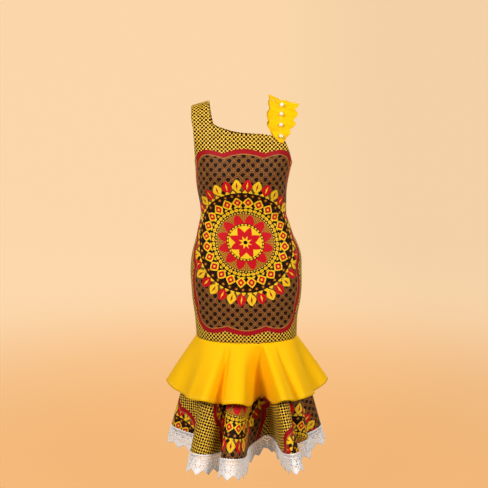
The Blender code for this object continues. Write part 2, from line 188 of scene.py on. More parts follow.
def cut_corners(rows, rounds=3):
    """Round off the line that a table gives, by cutting each of its corners."""
    kind = type(rows[0])
    for _ in range(rounds):
        cut = [rows[0]]
        for start, end in zip(rows, rows[1:]):
            cut += [kind(*[mix(a, b, share) for a, b in zip(start, end)]) for share in (0.25, 0.75)]
        rows = cut + [rows[-1]]
    return rows


SMOOTH_EDGES = cut_corners(EDGES[:-1]) + EDGES[-1:]
SMOOTH_NECKLINE = cut_corners(NECKLINE)
print("The neckline has", len(SMOOTH_NECKLINE), "points after its corners are cut")

# %% The body's surface
def section_at(level):
    """The body's section at a level. The top one mirrors front to back."""
    index = min(int(level), SEAM_LEVEL - 1)
    share = level - index
    start, end = SECTIONS[index], SECTIONS[index + 1]
    after = SECTIONS[min(index + 2, SEAM_LEVEL)]
    if index > 0:
        before = SECTIONS[index - 1]
    else:
        before = end._replace(front=-end.front, back=-end.back)
    return Section(*[spline(*values, share) for values in zip(before, start, end, after)])


def section_x(section, turn):
    return section.centre + section.half_width * signed_power(math.sin(turn), 2 / ROUNDNESS)


def turn_of_x(section, x):
    share = (x - section.centre) / section.half_width
    share = min(max(share, -1.0), 1.0)
    return math.asin(signed_power(share, ROUNDNESS / 2))


def shoulder_fall(x):
    return SHOULDER_SLOPE * (math.hypot(x, SHOULDER_FLAT) - SHOULDER_REACH)


def body_point(level, turn, side):
    """A point of the body's outer face. side is -1 in front and 1 behind."""
    section = section_at(level)
    depth = section.front if side < 0 else section.back
    x = section_x(section, turn)
    y = side * depth * abs(math.cos(turn)) ** (2 / ROUNDNESS)
    return Vector((x, y, section.z - section.slope * shoulder_fall(x)))


def body_normal(level, turn, side):
    """The outward direction of the body's face, from two short steps along it."""
    step = 0.01 if turn < 1.5 else -0.01
    here = body_point(level, turn, side)
    across = (body_point(level, turn + step, side) - here) / step
    down = body_point(level + 0.01, turn, side) - here
    return (across.cross(down) * side).normalized()


def level_of_z(z, turn_at):
    """The level at which a line down the body, given by its turn at each level, reaches z."""
    above, below = 0.0, float(SEAM_LEVEL)
    for _ in range(30):
        middle = (above + below) / 2
        if body_point(middle, turn_at(middle), -1).z > z:
            above = middle
        else:
            below = middle
    return (above + below) / 2


print("Waist", [round(value, 3) for value in body_point(13, math.pi / 2, -1)])

# %% [markdown]
# ## Flat cloth coordinates
#
# A print lies on the cloth, not on the body, so each piece carries a UV map named
# "cloth" that holds its place on the flat cloth in metres. On the fitted panels one
# axis is measured round the body from the middle, and the other down the middle, which
# is what a tape measure would read. The print's medallion is centred below the waist.

# %% Tape measure for the body
MEDALLION_Z = -0.425
TAPE_LEVELS = 4
TAPE_TURNS = 48


def tape_tables(side):
    """Lengths round the body at each level and turn, and lengths down its middle."""
    around, down = [], [0.0]
    for step in range(SEAM_LEVEL * TAPE_LEVELS + 1):
        level = step / TAPE_LEVELS
        points = [
            body_point(level, math.pi / 2 * index / TAPE_TURNS, side) for index in range(TAPE_TURNS + 1)
        ]
        lengths = [0.0]
        for start, end in zip(points, points[1:]):
            lengths.append(lengths[-1] + (end.xy - start.xy).length)
        around.append(lengths)
        if step:
            down.append(down[-1] + (points[0] - above).length)
        above = points[0]
    return around, down


def read_row(values, place):
    index = min(int(place), len(values) - 2)
    return mix(values[index], values[index + 1], place - index)


TAPES = {side: tape_tables(side) for side in (-1, 1)}
medallion_level = level_of_z(MEDALLION_Z, lambda level: 0.0)


def body_cloth(level, turn, side):
    """The place on the flat cloth of a point on the body, in metres from the medallion's middle."""
    around, down = TAPES[side]
    place = level * TAPE_LEVELS
    index = min(int(place), len(around) - 2)
    at = abs(turn) / (math.pi / 2) * TAPE_TURNS
    across = mix(read_row(around[index], at), read_row(around[index + 1], at), place - index)
    section = section_at(level)
    fall = section.slope * (shoulder_fall(section_x(section, turn)) - shoulder_fall(0.0))
    along = read_row(down, medallion_level * TAPE_LEVELS) - read_row(down, place) - fall
    return math.copysign(across, turn), along


print("Round the waist in front", round(2 * TAPES[-1][0][13 * TAPE_LEVELS][-1], 3), "m")

# %% [markdown]
# ## Colours and materials
#
# Colours are written as a dyer would note them, as sRGB hex values, and one function
# turns them to the linear values that a shader works in. One more small function adds
# a node with its settings and its inputs, and every material below is built with it.

# %% Colour and node helpers
def linear(colour):
    """An sRGB hex colour such as "c21d21" as the linear RGBA that a socket takes."""
    parts = [int(colour[index : index + 2], 16) / 255 for index in (0, 2, 4)]
    return (*[part / 12.92 if part <= 0.04045 else ((part + 0.055) / 1.055) ** 2.4 for part in parts], 1.0)


def add(tree, kind, inputs=(), **settings):
    """Add a node, set it, and feed its inputs in order or by name from values or nodes."""
    node = tree.nodes.new(kind)
    for name, value in settings.items():
        setattr(node, name, value)
    sockets = [socket for socket in node.inputs if socket.enabled]
    named = inputs if isinstance(inputs, dict) else dict(enumerate(inputs))
    for key, value in named.items():
        if isinstance(key, int):
            socket = sockets[key]
        else:
            socket = next(socket for socket in sockets if socket.name == key)
        if isinstance(value, bpy.types.Node):
            value = next(output for output in value.outputs if output.enabled)
        if isinstance(value, bpy.types.NodeSocket):
            tree.links.new(value, socket)
        else:
            socket.default_value = value
    return node


def new_material(name):
    """An empty material, and its node tree."""
    finish = bpy.data.materials.new(name)
    finish.use_nodes = True
    finish.node_tree.nodes.clear()
    return finish, finish.node_tree


def maths(tree, operation, *values):
    return add(tree, "ShaderNodeMath", values, operation=operation)


def vector(tree, operation, *values):
    return add(tree, "ShaderNodeVectorMath", values, operation=operation)


def blend(tree, factor, first, second):
    """Mix two colours."""
    inputs = {"Factor": factor, "A": first, "B": second}
    return add(tree, "ShaderNodeMix", inputs, data_type="RGBA")


def bump_of(tree, height, strength, distance):
    """Fine relief that is shaded and not modelled, at most distance metres high."""
    return add(tree, "ShaderNodeBump", {"Strength": strength, "Distance": distance, "Height": height})


def cloth_millimetres(tree):
    """The place on the flat cloth, in millimetres."""
    cloth = add(tree, "ShaderNodeUVMap", uv_map="cloth")
    return vector(tree, "MULTIPLY", cloth, (1000.0, 1000.0, 0.0))


def add_surface(tree, links, constants):
    """The surface: links feed the shader, and constants are set on its own sockets."""
    shader = add(tree, "ShaderNodeBsdfPrincipled", links)
    for name, value in constants.items():
        shader.inputs[name].default_value = value
    add(tree, "ShaderNodeOutputMaterial", {"Surface": shader})


print("Yellow is", [round(part, 3) for part in linear("fec501")])

# %% [markdown]
# ## The wax print
#
# Ankara is plain-woven cotton that is printed on both sides with dyes held back by
# resin or wax. What the eye sees is crisp shapes of flat colour with dark outlines, a
# few fine crackle lines where the resist broke, and a faint hard sheen. The repeat
# here is made of common motifs: dots, beads, leaves, lozenges and fish scales round an
# eight-pointed star, in a scalloped frame. Each ring of motifs is one row of a table.

# %% Sizes of the print, in millimetres
REPEAT = (520.0, 800.0)
DOT_SPACING = 12.0
DOT_RADIUS = 3.9
MARK_RADIUS = 3.4
SCALE_WIDTH = 28.0
FRAME_HALF = (168.0, 268.0)
FRAME_CORNER = 70.0
FRAME_LOBES = 14
FRAME_LOBE_DEPTH = 13.0
FRAME_BAND = 7.0

# Each colour as it is dyed, in sRGB
DYES = {
    "ground": "fbc93e",
    "yellow": "f6c61c",
    "gold": "d98312",
    "red": "c8081a",
    "crimson": "a00817",
    "tan": "bd7f22",
    "brown": "6b3308",
    "olive": "4a2609",
    "line": "ac7036",
    "black": "170502",
}

# A motif is a curved lozenge whose outline is |across|^power + |out|^power = 1. It is
# repeated count times round its ring, and only the first to last of each group is drawn.
Motif = namedtuple("Motif", "count group first last middle half_depth half_width power colour")
Disc = namedtuple("Disc", "radius colour")
MEDALLION = [
    Motif(36, 2, 0, 0, 178, 20.0, 15.2, 1.35, "red"),
    Motif(36, 2, 0, 0, 178, 13.0, 2.6, 1.0, "yellow"),
    Motif(36, 2, 1, 1, 178, 19.0, 14.6, 1.35, "yellow"),
    Motif(36, 2, 1, 1, 178, 12.0, 3.0, 1.0, "crimson"),
    Motif(56, 1, 0, 0, 157, 7.5, 7.0, 1.0, "yellow"),
    Disc(155.0, "black"),
    Motif(44, 1, 0, 0, 146, 6.4, 6.4, 2.0, "olive"),
    Motif(44, 1, 0, 0, 146, 3.0, 3.0, 2.0, "gold"),
    Motif(24, 1, 0, 0, 124, 17.0, 16.0, 1.2, "yellow"),
    Motif(24, 1, 0, 0, 124, 12.0, 10.5, 1.2, "red"),
    Motif(24, 1, 0, 0, 124, 3.6, 3.4, 2.0, "yellow"),
    Motif(44, 1, 0, 0, 108, 5.5, 5.5, 1.0, "yellow"),
    Disc(106.5, "black"),
    Motif(44, 1, 0, 0, 99.0, 4.9, 6.3, 2.0, "yellow"),
    Motif(44, 1, 0, 0, 99.0, 2.0, 2.6, 2.0, "gold"),
    Disc(93.0, "black"),
    Motif(66, 1, 0, 0, 90.0, 1.9, 2.9, 2.0, "ground"),
    Disc(86.5, "tan"),
    Motif(96, 1, 0, 0, 74.0, 14.0, 0.9, 2.0, "brown"),
    Motif(12, 1, 0, 0, 56.0, 29.0, 15.5, 1.8, "red"),
    Disc(57.0, "black"),
    Motif(32, 1, 0, 0, 53.5, 2.3, 3.6, 2.0, "yellow"),
    Disc(50.0, "yellow"),
    Motif(8, 1, 0, 0, 0.0, 50.0, 21.0, 1.3, "red"),
    Motif(8, 1, 0, 0, 0.0, 21.0, 6.0, 1.0, "yellow"),
    Disc(6.0, "black"),
]


# %% Painting with nodes
def paint_over(tree, paint, colour, mask):
    """Lay one dye over the paint where the mask is one."""
    return blend(tree, mask, paint, linear(DYES[colour]))


def ring_steps(tree, turns, count):
    """The number of the motif that a point is in, and how far across it the point is."""
    places = maths(tree, "MULTIPLY", turns, count)
    number = maths(tree, "FLOOR", places)
    part = maths(tree, "SUBTRACT", maths(tree, "FRACT", places), 0.5)
    return number, maths(tree, "ABSOLUTE", part)


def motif_mask(tree, motif, steps, radius):
    """One where a point lies in a motif of a ring, and zero elsewhere."""
    number, across = steps
    width = 2 * math.pi / motif.count / motif.half_width
    across = maths(tree, "MULTIPLY", maths(tree, "MULTIPLY", across, radius), width)
    out = maths(tree, "SUBTRACT", radius, motif.middle)
    out = maths(tree, "MULTIPLY", out, 1 / motif.half_depth)
    out = maths(tree, "ABSOLUTE", out)
    if motif.power != 1.0:
        across = maths(tree, "POWER", across, motif.power)
        out = maths(tree, "POWER", out, motif.power)
    total = maths(tree, "ADD", across, out)
    mask = maths(tree, "LESS_THAN", total, 1.0)
    if motif.group > 1:
        member = maths(tree, "FLOORED_MODULO", number, motif.group)
        middle, reach = (motif.first + motif.last) / 2, (motif.last - motif.first) / 2 + 0.25
        chosen = maths(tree, "COMPARE", member, middle, reach)
        mask = maths(tree, "MULTIPLY", mask, chosen)
    return mask


def paint_medallion(tree, paint, place):
    """Paint the rings of the medallion over the paint, from the outside in."""
    parts = add(tree, "ShaderNodeSeparateXYZ", (place,))
    angle = maths(tree, "ARCTAN2", parts.outputs[1], parts.outputs[0])
    turns = maths(tree, "MULTIPLY", angle, 0.5 / math.pi)
    radius = vector(tree, "LENGTH", place)
    steps = {}
    for row in MEDALLION:
        if isinstance(row, Disc):
            mask = maths(tree, "LESS_THAN", radius, row.radius)
        else:
            if row.count not in steps:
                steps[row.count] = ring_steps(tree, turns, row.count)
            mask = motif_mask(tree, row, steps[row.count], radius)
        paint = paint_over(tree, paint, row.colour, mask)
    return paint, turns


def paint_dots(tree, place):
    """The dotted ground: black dots on a square lattice, and smaller ones between them."""
    spacing = (DOT_SPACING, DOT_SPACING, 1.0)
    cell = vector(tree, "WRAP", place, spacing, (0.0, 0.0, 0.0))
    cell = vector(tree, "SUBTRACT", cell, (DOT_SPACING / 2, DOT_SPACING / 2, 0.0))
    flat = vector(tree, "MULTIPLY", cell, (1.0, 1.0, 0.0))
    in_dot = maths(tree, "LESS_THAN", vector(tree, "LENGTH", flat), DOT_RADIUS)
    corner = vector(tree, "ABSOLUTE", flat)
    corner = vector(tree, "SUBTRACT", corner, (DOT_SPACING / 2, DOT_SPACING / 2, 0.0))
    in_mark = maths(tree, "LESS_THAN", vector(tree, "LENGTH", corner), MARK_RADIUS)
    dark = maths(tree, "MAXIMUM", in_dot, in_mark)
    return paint_over(tree, linear(DYES["ground"]), "black", dark)


def paint_scales(tree, place):
    """The dark field: rows of fish scales, each with an outline, a ring and a round eye."""
    height = SCALE_WIDTH / 2
    parts = add(tree, "ShaderNodeSeparateXYZ", (place,))
    rows = maths(tree, "DIVIDE", parts.outputs[1], height)
    row = maths(tree, "FLOOR", rows)
    up = maths(tree, "FRACT", rows)
    offset = maths(tree, "MULTIPLY", maths(tree, "FLOORED_MODULO", row, 2.0), 0.5)
    column = maths(tree, "MULTIPLY_ADD", parts.outputs[0], 1 / SCALE_WIDTH, offset)
    side = maths(tree, "SUBTRACT", maths(tree, "FRACT", column), 0.5)
    side = maths(tree, "ABSOLUTE", side)
    near = add(tree, "ShaderNodeCombineXYZ", (maths(tree, "MULTIPLY", side, 2.0), up))
    far = vector(tree, "SUBTRACT", (1.0, 1.0, 0.0), near)
    near = vector(tree, "LENGTH", near)
    far = vector(tree, "LENGTH", far)
    inside = maths(tree, "LESS_THAN", near, 1.0)
    reach = add(tree, "ShaderNodeMix", {"Factor": inside, "A": far, "B": near}, data_type="FLOAT")
    bands = add(tree, "ShaderNodeValToRGB", (reach,))
    ramp = bands.color_ramp
    ramp.interpolation = "CONSTANT"
    stops = [(0.0, "black"), (0.52, "line"), (0.61, "olive"), (0.76, "line"), (0.81, "black"), (0.92, "line")]
    while len(ramp.elements) < len(stops):
        ramp.elements.new(0.5)
    for element, (position, colour) in zip(ramp.elements, stops):
        element.position = position
        element.color = linear(DYES[colour])
    return bands


def frame_distance(tree, place, turns):
    """How far a point lies outside the scalloped frame's line, in millimetres."""
    core = (FRAME_HALF[0] - FRAME_CORNER, FRAME_HALF[1] - FRAME_CORNER, 0.0)
    past = vector(tree, "SUBTRACT", vector(tree, "ABSOLUTE", place), core)
    beyond = vector(tree, "MAXIMUM", past, (0.0, 0.0, 0.0))
    parts = add(tree, "ShaderNodeSeparateXYZ", (past,))
    inner = maths(tree, "MAXIMUM", parts.outputs[0], parts.outputs[1])
    inner = maths(tree, "MINIMUM", inner, 0.0)
    reach = maths(tree, "ADD", vector(tree, "LENGTH", beyond), inner)
    wave = maths(tree, "MULTIPLY", turns, math.pi * FRAME_LOBES)
    wave = maths(tree, "ABSOLUTE", maths(tree, "SINE", wave))
    lobe = maths(tree, "MULTIPLY_ADD", wave, FRAME_LOBE_DEPTH, FRAME_CORNER)
    return maths(tree, "SUBTRACT", reach, lobe)


# %% Wax print cotton
def wax_print_cotton():
    finish, tree = new_material("wax_print_cotton")
    place = cloth_millimetres(tree)
    # The printing roller leaves edges that waver by up to about a millimetre.
    noise = add(tree, "ShaderNodeTexNoise", {"Vector": place, "Scale": 0.09, "Detail": 1.0})
    shake = vector(tree, "SUBTRACT", noise.outputs["Color"], (0.5, 0.5, 0.5))
    shake = vector(tree, "MULTIPLY", shake, (2.4, 2.4, 0.0))
    place = vector(tree, "ADD", place, shake)
    half = (REPEAT[0] / 2, REPEAT[1] / 2, 1.0)
    tile = vector(tree, "WRAP", place, half, (-half[0], -half[1], -1.0))
    dots = paint_dots(tree, place)
    field, turns = paint_medallion(tree, paint_scales(tree, tile), tile)
    distance = frame_distance(tree, tile, turns)
    inside = maths(tree, "LESS_THAN", distance, 0.0)
    paint = blend(tree, inside, dots, field)
    in_band = maths(tree, "COMPARE", distance, 0.0, FRAME_BAND)
    paint = paint_over(tree, paint, "crimson", in_band)
    in_edge = maths(tree, "COMPARE", distance, -FRAME_BAND - 1.8, 1.4)
    paint = paint_over(tree, paint, "line", in_edge)
    # Crackle: where the resist broke, thin dark veins run across all colours.
    veins = add(tree, "ShaderNodeTexVoronoi", {"Vector": place, "Scale": 0.03}, feature="DISTANCE_TO_EDGE")
    vein = maths(tree, "LESS_THAN", veins.outputs["Distance"], 0.016)
    vein = maths(tree, "MULTIPLY", vein, 0.22)
    paint = paint_over(tree, paint, "black", vein)
    # The dye takes a little unevenly, by a few per cent over 40 mm.
    patches = add(tree, "ShaderNodeTexNoise", {"Vector": place, "Scale": 0.025, "Detail": 3.0})
    value = add(tree, "ShaderNodeMapRange", {"Value": patches.outputs["Fac"], "To Min": 0.88, "To Max": 1.12})
    paint = add(tree, "ShaderNodeHueSaturation", {"Value": value, "Color": paint})
    # Threads lie 0.35 mm apart; they are drawn at 1.4 mm, which is the finest that shows.
    threads = vector(tree, "MULTIPLY", place, (1 / 1.4, 1 / 1.4, 0.0))
    weave = add(tree, "ShaderNodeTexChecker", {"Vector": threads, "Scale": 1.0})
    slub = add(tree, "ShaderNodeTexNoise", {"Vector": place, "Scale": 0.5, "Detail": 2.0})
    height = maths(tree, "MULTIPLY_ADD", weave.outputs["Fac"], 0.25, slub.outputs["Fac"])
    bump = bump_of(tree, height, 0.16, 0.0006)
    matt = {"Roughness": 0.55, "Specular IOR Level": 0.1, "Sheen Weight": 0.02, "Sheen Roughness": 0.4}
    add_surface(tree, {"Base Color": paint, "Normal": bump}, matt)
    return finish


WAX_PRINT = wax_print_cotton()
print("The wax print has", len(WAX_PRINT.node_tree.nodes), "nodes")

# %% [markdown]
# ## Yellow crepe, guipure cord, pearl and thread
#
# The flounce and the ruffle are a firm, smooth yellow double-knit crepe: no weave shows,
# only a soft even lustre, and light that bounces inside a fold turns orange. Guipure is
# thick cotton embroidery whose backing was dissolved, so it is matt, white and cord-like.
# The pearls are glass beads with a nacre coat under a clear gloss.

# %% Plain finishes
def yellow_crepe():
    finish, tree = new_material("yellow_crepe")
    place = cloth_millimetres(tree)
    patches = add(tree, "ShaderNodeTexNoise", {"Vector": place, "Scale": 0.02, "Detail": 3.0})
    paint = blend(tree, patches, linear("febe00"), linear("ffc700"))
    # The knit's wales are 0.5 mm apart; they are drawn at 1.6 mm so that they can show.
    waves = {"Vector": place, "Scale": 0.1, "Distortion": 0.6}
    wales = add(tree, "ShaderNodeTexWave", waves, bands_direction="X")
    grain = add(tree, "ShaderNodeTexNoise", {"Vector": place, "Scale": 0.9, "Detail": 2.0})
    height = maths(tree, "MULTIPLY_ADD", wales.outputs["Fac"], 0.35, grain.outputs["Fac"])
    bump = bump_of(tree, height, 0.10, 0.0005)
    soft = {"Roughness": 0.62, "Specular IOR Level": 0.06, "Sheen Weight": 0.01, "Sheen Roughness": 0.5}
    add_surface(tree, {"Base Color": paint, "Normal": bump}, soft)
    return finish


def guipure_cotton():
    finish, tree = new_material("guipure_cotton")
    place = cloth_millimetres(tree)
    # Satin stitches cross each cord about every 0.4 mm; they are drawn at 1.2 mm.
    waves = {"Vector": place, "Scale": 0.13, "Distortion": 3.0}
    satin = add(tree, "ShaderNodeTexWave", waves, bands_direction="DIAGONAL")
    grain = add(tree, "ShaderNodeTexNoise", {"Vector": place, "Scale": 0.4, "Detail": 2.0})
    paint = blend(tree, grain, linear("f6efec"), linear("fffdfb"))
    bump = bump_of(tree, satin.outputs["Fac"], 0.35, 0.0006)
    matt = {"Roughness": 0.8, "Specular IOR Level": 0.25}
    add_surface(tree, {"Base Color": paint, "Normal": bump}, matt)
    return finish


def pearl_nacre():
    finish, tree = new_material("pearl_nacre")
    place = add(tree, "ShaderNodeTexCoord")
    clouds = {"Vector": place.outputs["Object"], "Scale": 260.0, "Detail": 2.0}
    cloudy = add(tree, "ShaderNodeTexNoise", clouds)
    paint = blend(tree, cloudy, linear("f3e4c4"), linear("fff8ea"))
    nacre = {
        "Roughness": 0.24, "IOR": 1.53, "Coat Weight": 0.6, "Coat Roughness": 0.06,
        "Subsurface Weight": 0.25, "Subsurface Radius": (0.002, 0.0015, 0.001),
    }
    add_surface(tree, {"Base Color": paint}, nacre)
    return finish


def polyester_thread(name, colour):
    finish, tree = new_material(name)
    place = add(tree, "ShaderNodeTexCoord")
    waves = {"Vector": place.outputs["Object"], "Scale": 900.0}
    twist_and_sheen = add(tree, "ShaderNodeTexWave", waves, bands_direction="DIAGONAL")
    # The pale cream on each twist ridge is painted sheen; the same bands also give the thread its bump.
    paint = blend(tree, twist_and_sheen, linear(colour), linear("fff2d0"))
    bump = bump_of(tree, twist_and_sheen.outputs["Fac"], 0.3, 0.0002)
    add_surface(tree, {"Base Color": paint, "Normal": bump}, {"Roughness": 0.45})
    return finish


YELLOW_CREPE = yellow_crepe()
GUIPURE = guipure_cotton()
NACRE = pearl_nacre()
GOLD_THREAD = polyester_thread("golden_thread", "b07a1c")
YELLOW_THREAD = polyester_thread("yellow_thread", "f0a800")
WHITE_THREAD = polyester_thread("white_thread", "efe6dc")
print("Finishes:", ", ".join(finish.name for finish in bpy.data.materials if finish.users == 0))

# %% [markdown]
# ## Cloth as a grid
#
# Each piece of cloth starts as a flat bmesh grid, whose rows and columns are then put
# in place by a function, and gets its thickness from a Solidify modifier. The grid
# keeps quads that follow the grain, so folds bend along it as they do in woven cloth.

# %% Cloth helpers
def cloth_grid(columns, rows, place, is_open=None):
    """A grid put in place by a function that gives a point and its place on the flat cloth."""
    bm = bmesh.new()
    bmesh.ops.create_grid(bm, x_segments=columns, y_segments=rows, size=0.5)
    left_out = []
    for face in bm.faces:
        middle = face.calc_center_median()
        if is_open and is_open(int((middle.x + 0.5) * columns), int((middle.y + 0.5) * rows)):
            left_out.append(face)
    flat = {}
    for vert in bm.verts:
        vert.co, flat[vert] = place(round((vert.co.x + 0.5) * columns), round((vert.co.y + 0.5) * rows))
    bmesh.ops.delete(bm, geom=left_out, context="FACES")
    layer = bm.loops.layers.uv.new("cloth")
    for face in bm.faces:
        for loop in face.loops:
            loop[layer].uv = flat[loop.vert]
    return bm


def finished_piece(name, bm, finish, node=None):
    """Make a bmesh an object with its finish, which rides on the dress."""
    mesh = bpy.data.meshes.new(name)
    bm.to_mesh(mesh)
    bm.free()
    mesh.materials.append(finish)
    mesh.shade_smooth()
    piece = bpy.data.objects.new(name, mesh)
    bpy.context.scene.collection.objects.link(piece)
    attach(piece, "root")
    if node:
        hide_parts(node)
    print(name, "has", len(mesh.polygons), "faces")
    return piece


def add_wall(piece, thickness, offset=-1.0):
    """Give a piece of cloth its thickness, with a rim at its cut edges."""
    wall = piece.modifiers.new("wall", "SOLIDIFY")
    wall.thickness = thickness
    wall.offset = offset
    return wall


Crease = namedtuple("Crease", "x z reach_x reach_z half_width height")


def crease_height(creases, x, z):
    """How far soft ridges and troughs lift the cloth at a place, each along its own line."""
    total = 0.0
    for crease in creases:
        length = math.hypot(crease.reach_x, crease.reach_z)
        along = ((x - crease.x) * crease.reach_x + (z - crease.z) * crease.reach_z) / length
        off = ((x - crease.x) * crease.reach_z - (z - crease.z) * crease.reach_x) / length
        share = along / length
        if -0.2 < share < 1.2 and abs(off) < 3 * crease.half_width:
            taper = smooth((share + 0.2) / 0.5) * smooth((1.2 - share) / 0.7)
            total += crease.height * taper * math.exp(-((off / crease.half_width) ** 2))
    return total


print("Cloth helpers are ready")

# %% [markdown]
# ## The fitted panels
#
# A sheath is cut as one front and two backs, joined at the side seams and down the
# middle of the back. Each panel runs from the hip seam up to the neckline, and the one
# with the wide strap goes on up to the shoulder. The cloth is taut over bust and hip,
# so it has few creases: short ones that the waist pushes up beside the side seams, and
# long shallow ones that the seam of the flounces pulls down.

# %% Front and back panels
PANEL_HALF_COLUMNS = 10
STRAP_COLUMNS = 5
ROWS_BELOW_ARM = 13
CHEST_ROWS = 7
STRAP_ROWS = 7
SHOULDER_GAP = 0.0006
FINENESS = 6
# About how wide a column and how high a row is, for the roll beside a seam
COLUMN_WIDTH, ROW_HEIGHT = 0.016, 0.04
# Directions just at the shoulder line aren't steady, so they are read a little below it.
PANEL_TOP, RUFFLE_TOP = 0.05, 0.02

FRONT_CREASES = [
    Crease(0.128, -0.318, -0.052, -0.010, 0.0055, -0.0022),
    Crease(0.130, -0.338, -0.075, 0.004, 0.0060, 0.0018),
    Crease(0.131, -0.352, -0.047, -0.006, 0.0050, -0.0024),
    Crease(0.134, -0.372, -0.066, -0.014, 0.0070, 0.0016),
    Crease(-0.128, -0.325, 0.046, -0.012, 0.0050, -0.0022),
    Crease(-0.130, -0.345, 0.068, 0.003, 0.0062, 0.0016),
    Crease(-0.132, -0.362, 0.040, -0.009, 0.0048, -0.0020),
    Crease(0.052, -0.262, 0.062, 0.020, 0.0080, -0.0018),
    Crease(-0.060, -0.262, -0.060, 0.022, 0.0085, -0.0018),
    Crease(0.118, -0.165, -0.040, -0.035, 0.0070, -0.0015),
    Crease(-0.090, -0.545, 0.020, -0.150, 0.0150, -0.0022),
    Crease(0.074, -0.520, -0.012, -0.170, 0.0180, -0.0020),
    Crease(0.010, -0.600, 0.006, -0.110, 0.0120, 0.0014),
    Crease(0.120, -0.600, -0.004, -0.100, 0.0110, -0.0018),
]
BACK_CREASES = [
    Crease(0.120, -0.322, -0.070, -0.014, 0.0060, -0.0026),
    Crease(0.118, -0.345, -0.085, -0.006, 0.0070, 0.0020),
    Crease(0.122, -0.366, -0.056, -0.016, 0.0055, -0.0022),
    Crease(-0.120, -0.315, 0.064, -0.012, 0.0060, -0.0024),
    Crease(-0.119, -0.338, 0.090, -0.008, 0.0068, 0.0020),
    Crease(-0.121, -0.358, 0.050, -0.013, 0.0052, -0.0022),
    Crease(-0.070, -0.560, 0.016, -0.140, 0.0150, -0.0022),
    Crease(0.062, -0.540, -0.010, -0.160, 0.0170, -0.0020),
    Crease(0.126, -0.590, -0.004, -0.120, 0.0120, -0.0018),
]


def column_turn(column, level):
    """The turn of a column of the panels, from the right armhole to the left one."""
    section = section_at(level)
    right = turn_of_x(section, look_up(SMOOTH_EDGES, section.z, "right_armhole"))
    left = turn_of_x(section, look_up(SMOOTH_EDGES, section.z, "left_armhole"))
    strap = turn_of_x(section, look_up(SMOOTH_EDGES, section.z, "strap_inner"))
    evenness = smooth((NECK_CORNER_Z - section.z) / (NECK_CORNER_Z - SECTIONS[UNDERARM_LEVEL].z))
    strap = mix(strap, right * (1 - STRAP_COLUMNS / PANEL_HALF_COLUMNS), evenness)
    if column <= STRAP_COLUMNS:
        return mix(right, strap, column / STRAP_COLUMNS)
    if column <= PANEL_HALF_COLUMNS:
        share = (column - STRAP_COLUMNS) / (PANEL_HALF_COLUMNS - STRAP_COLUMNS)
        return mix(strap, 0.0, share)
    return left * (column - PANEL_HALF_COLUMNS) / PANEL_HALF_COLUMNS


def neck_z(x):
    for start, end in zip(SMOOTH_NECKLINE, SMOOTH_NECKLINE[1:]):
        if x <= end.x:
            return mix(start.z, end.z, max(x - start.x, 0.0) / (end.x - start.x))
    return SMOOTH_NECKLINE[-1].z


def neck_level(column):
    """The level at which a column meets the neckline."""
    def turn_at(level):
        return column_turn(column, level)
    z = NECK_CORNER_Z
    for _ in range(6):
        level = level_of_z(z, turn_at)
        if column <= STRAP_COLUMNS:
            break
        z = neck_z(section_x(section_at(level), turn_at(level)))
    return level


NECK_LEVELS = [neck_level(step / FINENESS) for step in range(2 * PANEL_HALF_COLUMNS * FINENESS + 1)]


def panel_level(column, row):
    """The level of a place on a panel, whose rows count up from the hip seam."""
    top = read_row(NECK_LEVELS, column * FINENESS)
    neck_row = ROWS_BELOW_ARM + CHEST_ROWS
    if row <= ROWS_BELOW_ARM:
        return mix(SEAM_LEVEL, UNDERARM_LEVEL, row / ROWS_BELOW_ARM)
    if row <= neck_row:
        return mix(UNDERARM_LEVEL, top, (row - ROWS_BELOW_ARM) / CHEST_ROWS)
    return mix(top, 0.0, (row - neck_row) / STRAP_ROWS)


def pressed_edge(distance, reach=0.004, depth=0.0012):
    """How far the cloth rolls in beside a seam or an edge, for a place that far from it."""
    return depth * max(1 - distance / reach, 0.0) ** 2


def body_panel(name, side, first_column, last_column, node):
    has_strap = first_column < STRAP_COLUMNS
    neck_row = ROWS_BELOW_ARM + CHEST_ROWS
    rows = neck_row + (STRAP_ROWS if has_strap else 0)
    creases = FRONT_CREASES if side < 0 else BACK_CREASES
    middle_step = SEAM_GAP / 2 if first_column == PANEL_HALF_COLUMNS else -SEAM_GAP / 2

    def place(fine_column, fine_row):
        column, row = fine_column / FINENESS + first_column, fine_row / FINENESS
        level = panel_level(column, row)
        turn = column_turn(column, level)
        point = body_point(level, turn, side)
        normal = body_normal(max(level, PANEL_TOP), turn, side)
        lift = crease_height(creases, point.x, point.z)
        side_edge = min(column, 2 * PANEL_HALF_COLUMNS - column) * COLUMN_WIDTH
        lift -= pressed_edge(side_edge) + pressed_edge(row * ROW_HEIGHT)
        if side > 0:
            lift -= pressed_edge(abs(column - PANEL_HALF_COLUMNS) * COLUMN_WIDTH)
        cloth = body_cloth(level, turn, side)
        y = side * max(side * point.y, (SHOULDER_GAP if level < 0.5 else SEAM_GAP) / 2)
        point = Vector((point.x, y, point.z)) + normal * lift
        if side > 0 and column == PANEL_HALF_COLUMNS:
            point.x += middle_step
        return point, cloth

    def is_open(fine_column, fine_row):
        return fine_row >= neck_row * FINENESS and fine_column >= (STRAP_COLUMNS - first_column) * FINENESS

    bm = cloth_grid((last_column - first_column) * FINENESS, rows * FINENESS, place, is_open)
    if side > 0:
        bmesh.ops.reverse_faces(bm, faces=bm.faces)
    piece = finished_piece(name, bm, WAX_PRINT, node)
    add_wall(piece, WALL)
    return piece


middle = PANEL_HALF_COLUMNS
front = body_panel("front_cloth", -1, 0, 2 * middle, "front_panel")
back_right = body_panel("back_right_cloth", 1, 0, middle, "back_right_panel")
back_left = body_panel("back_left_cloth", 1, middle, 2 * middle, "back_left_panel")

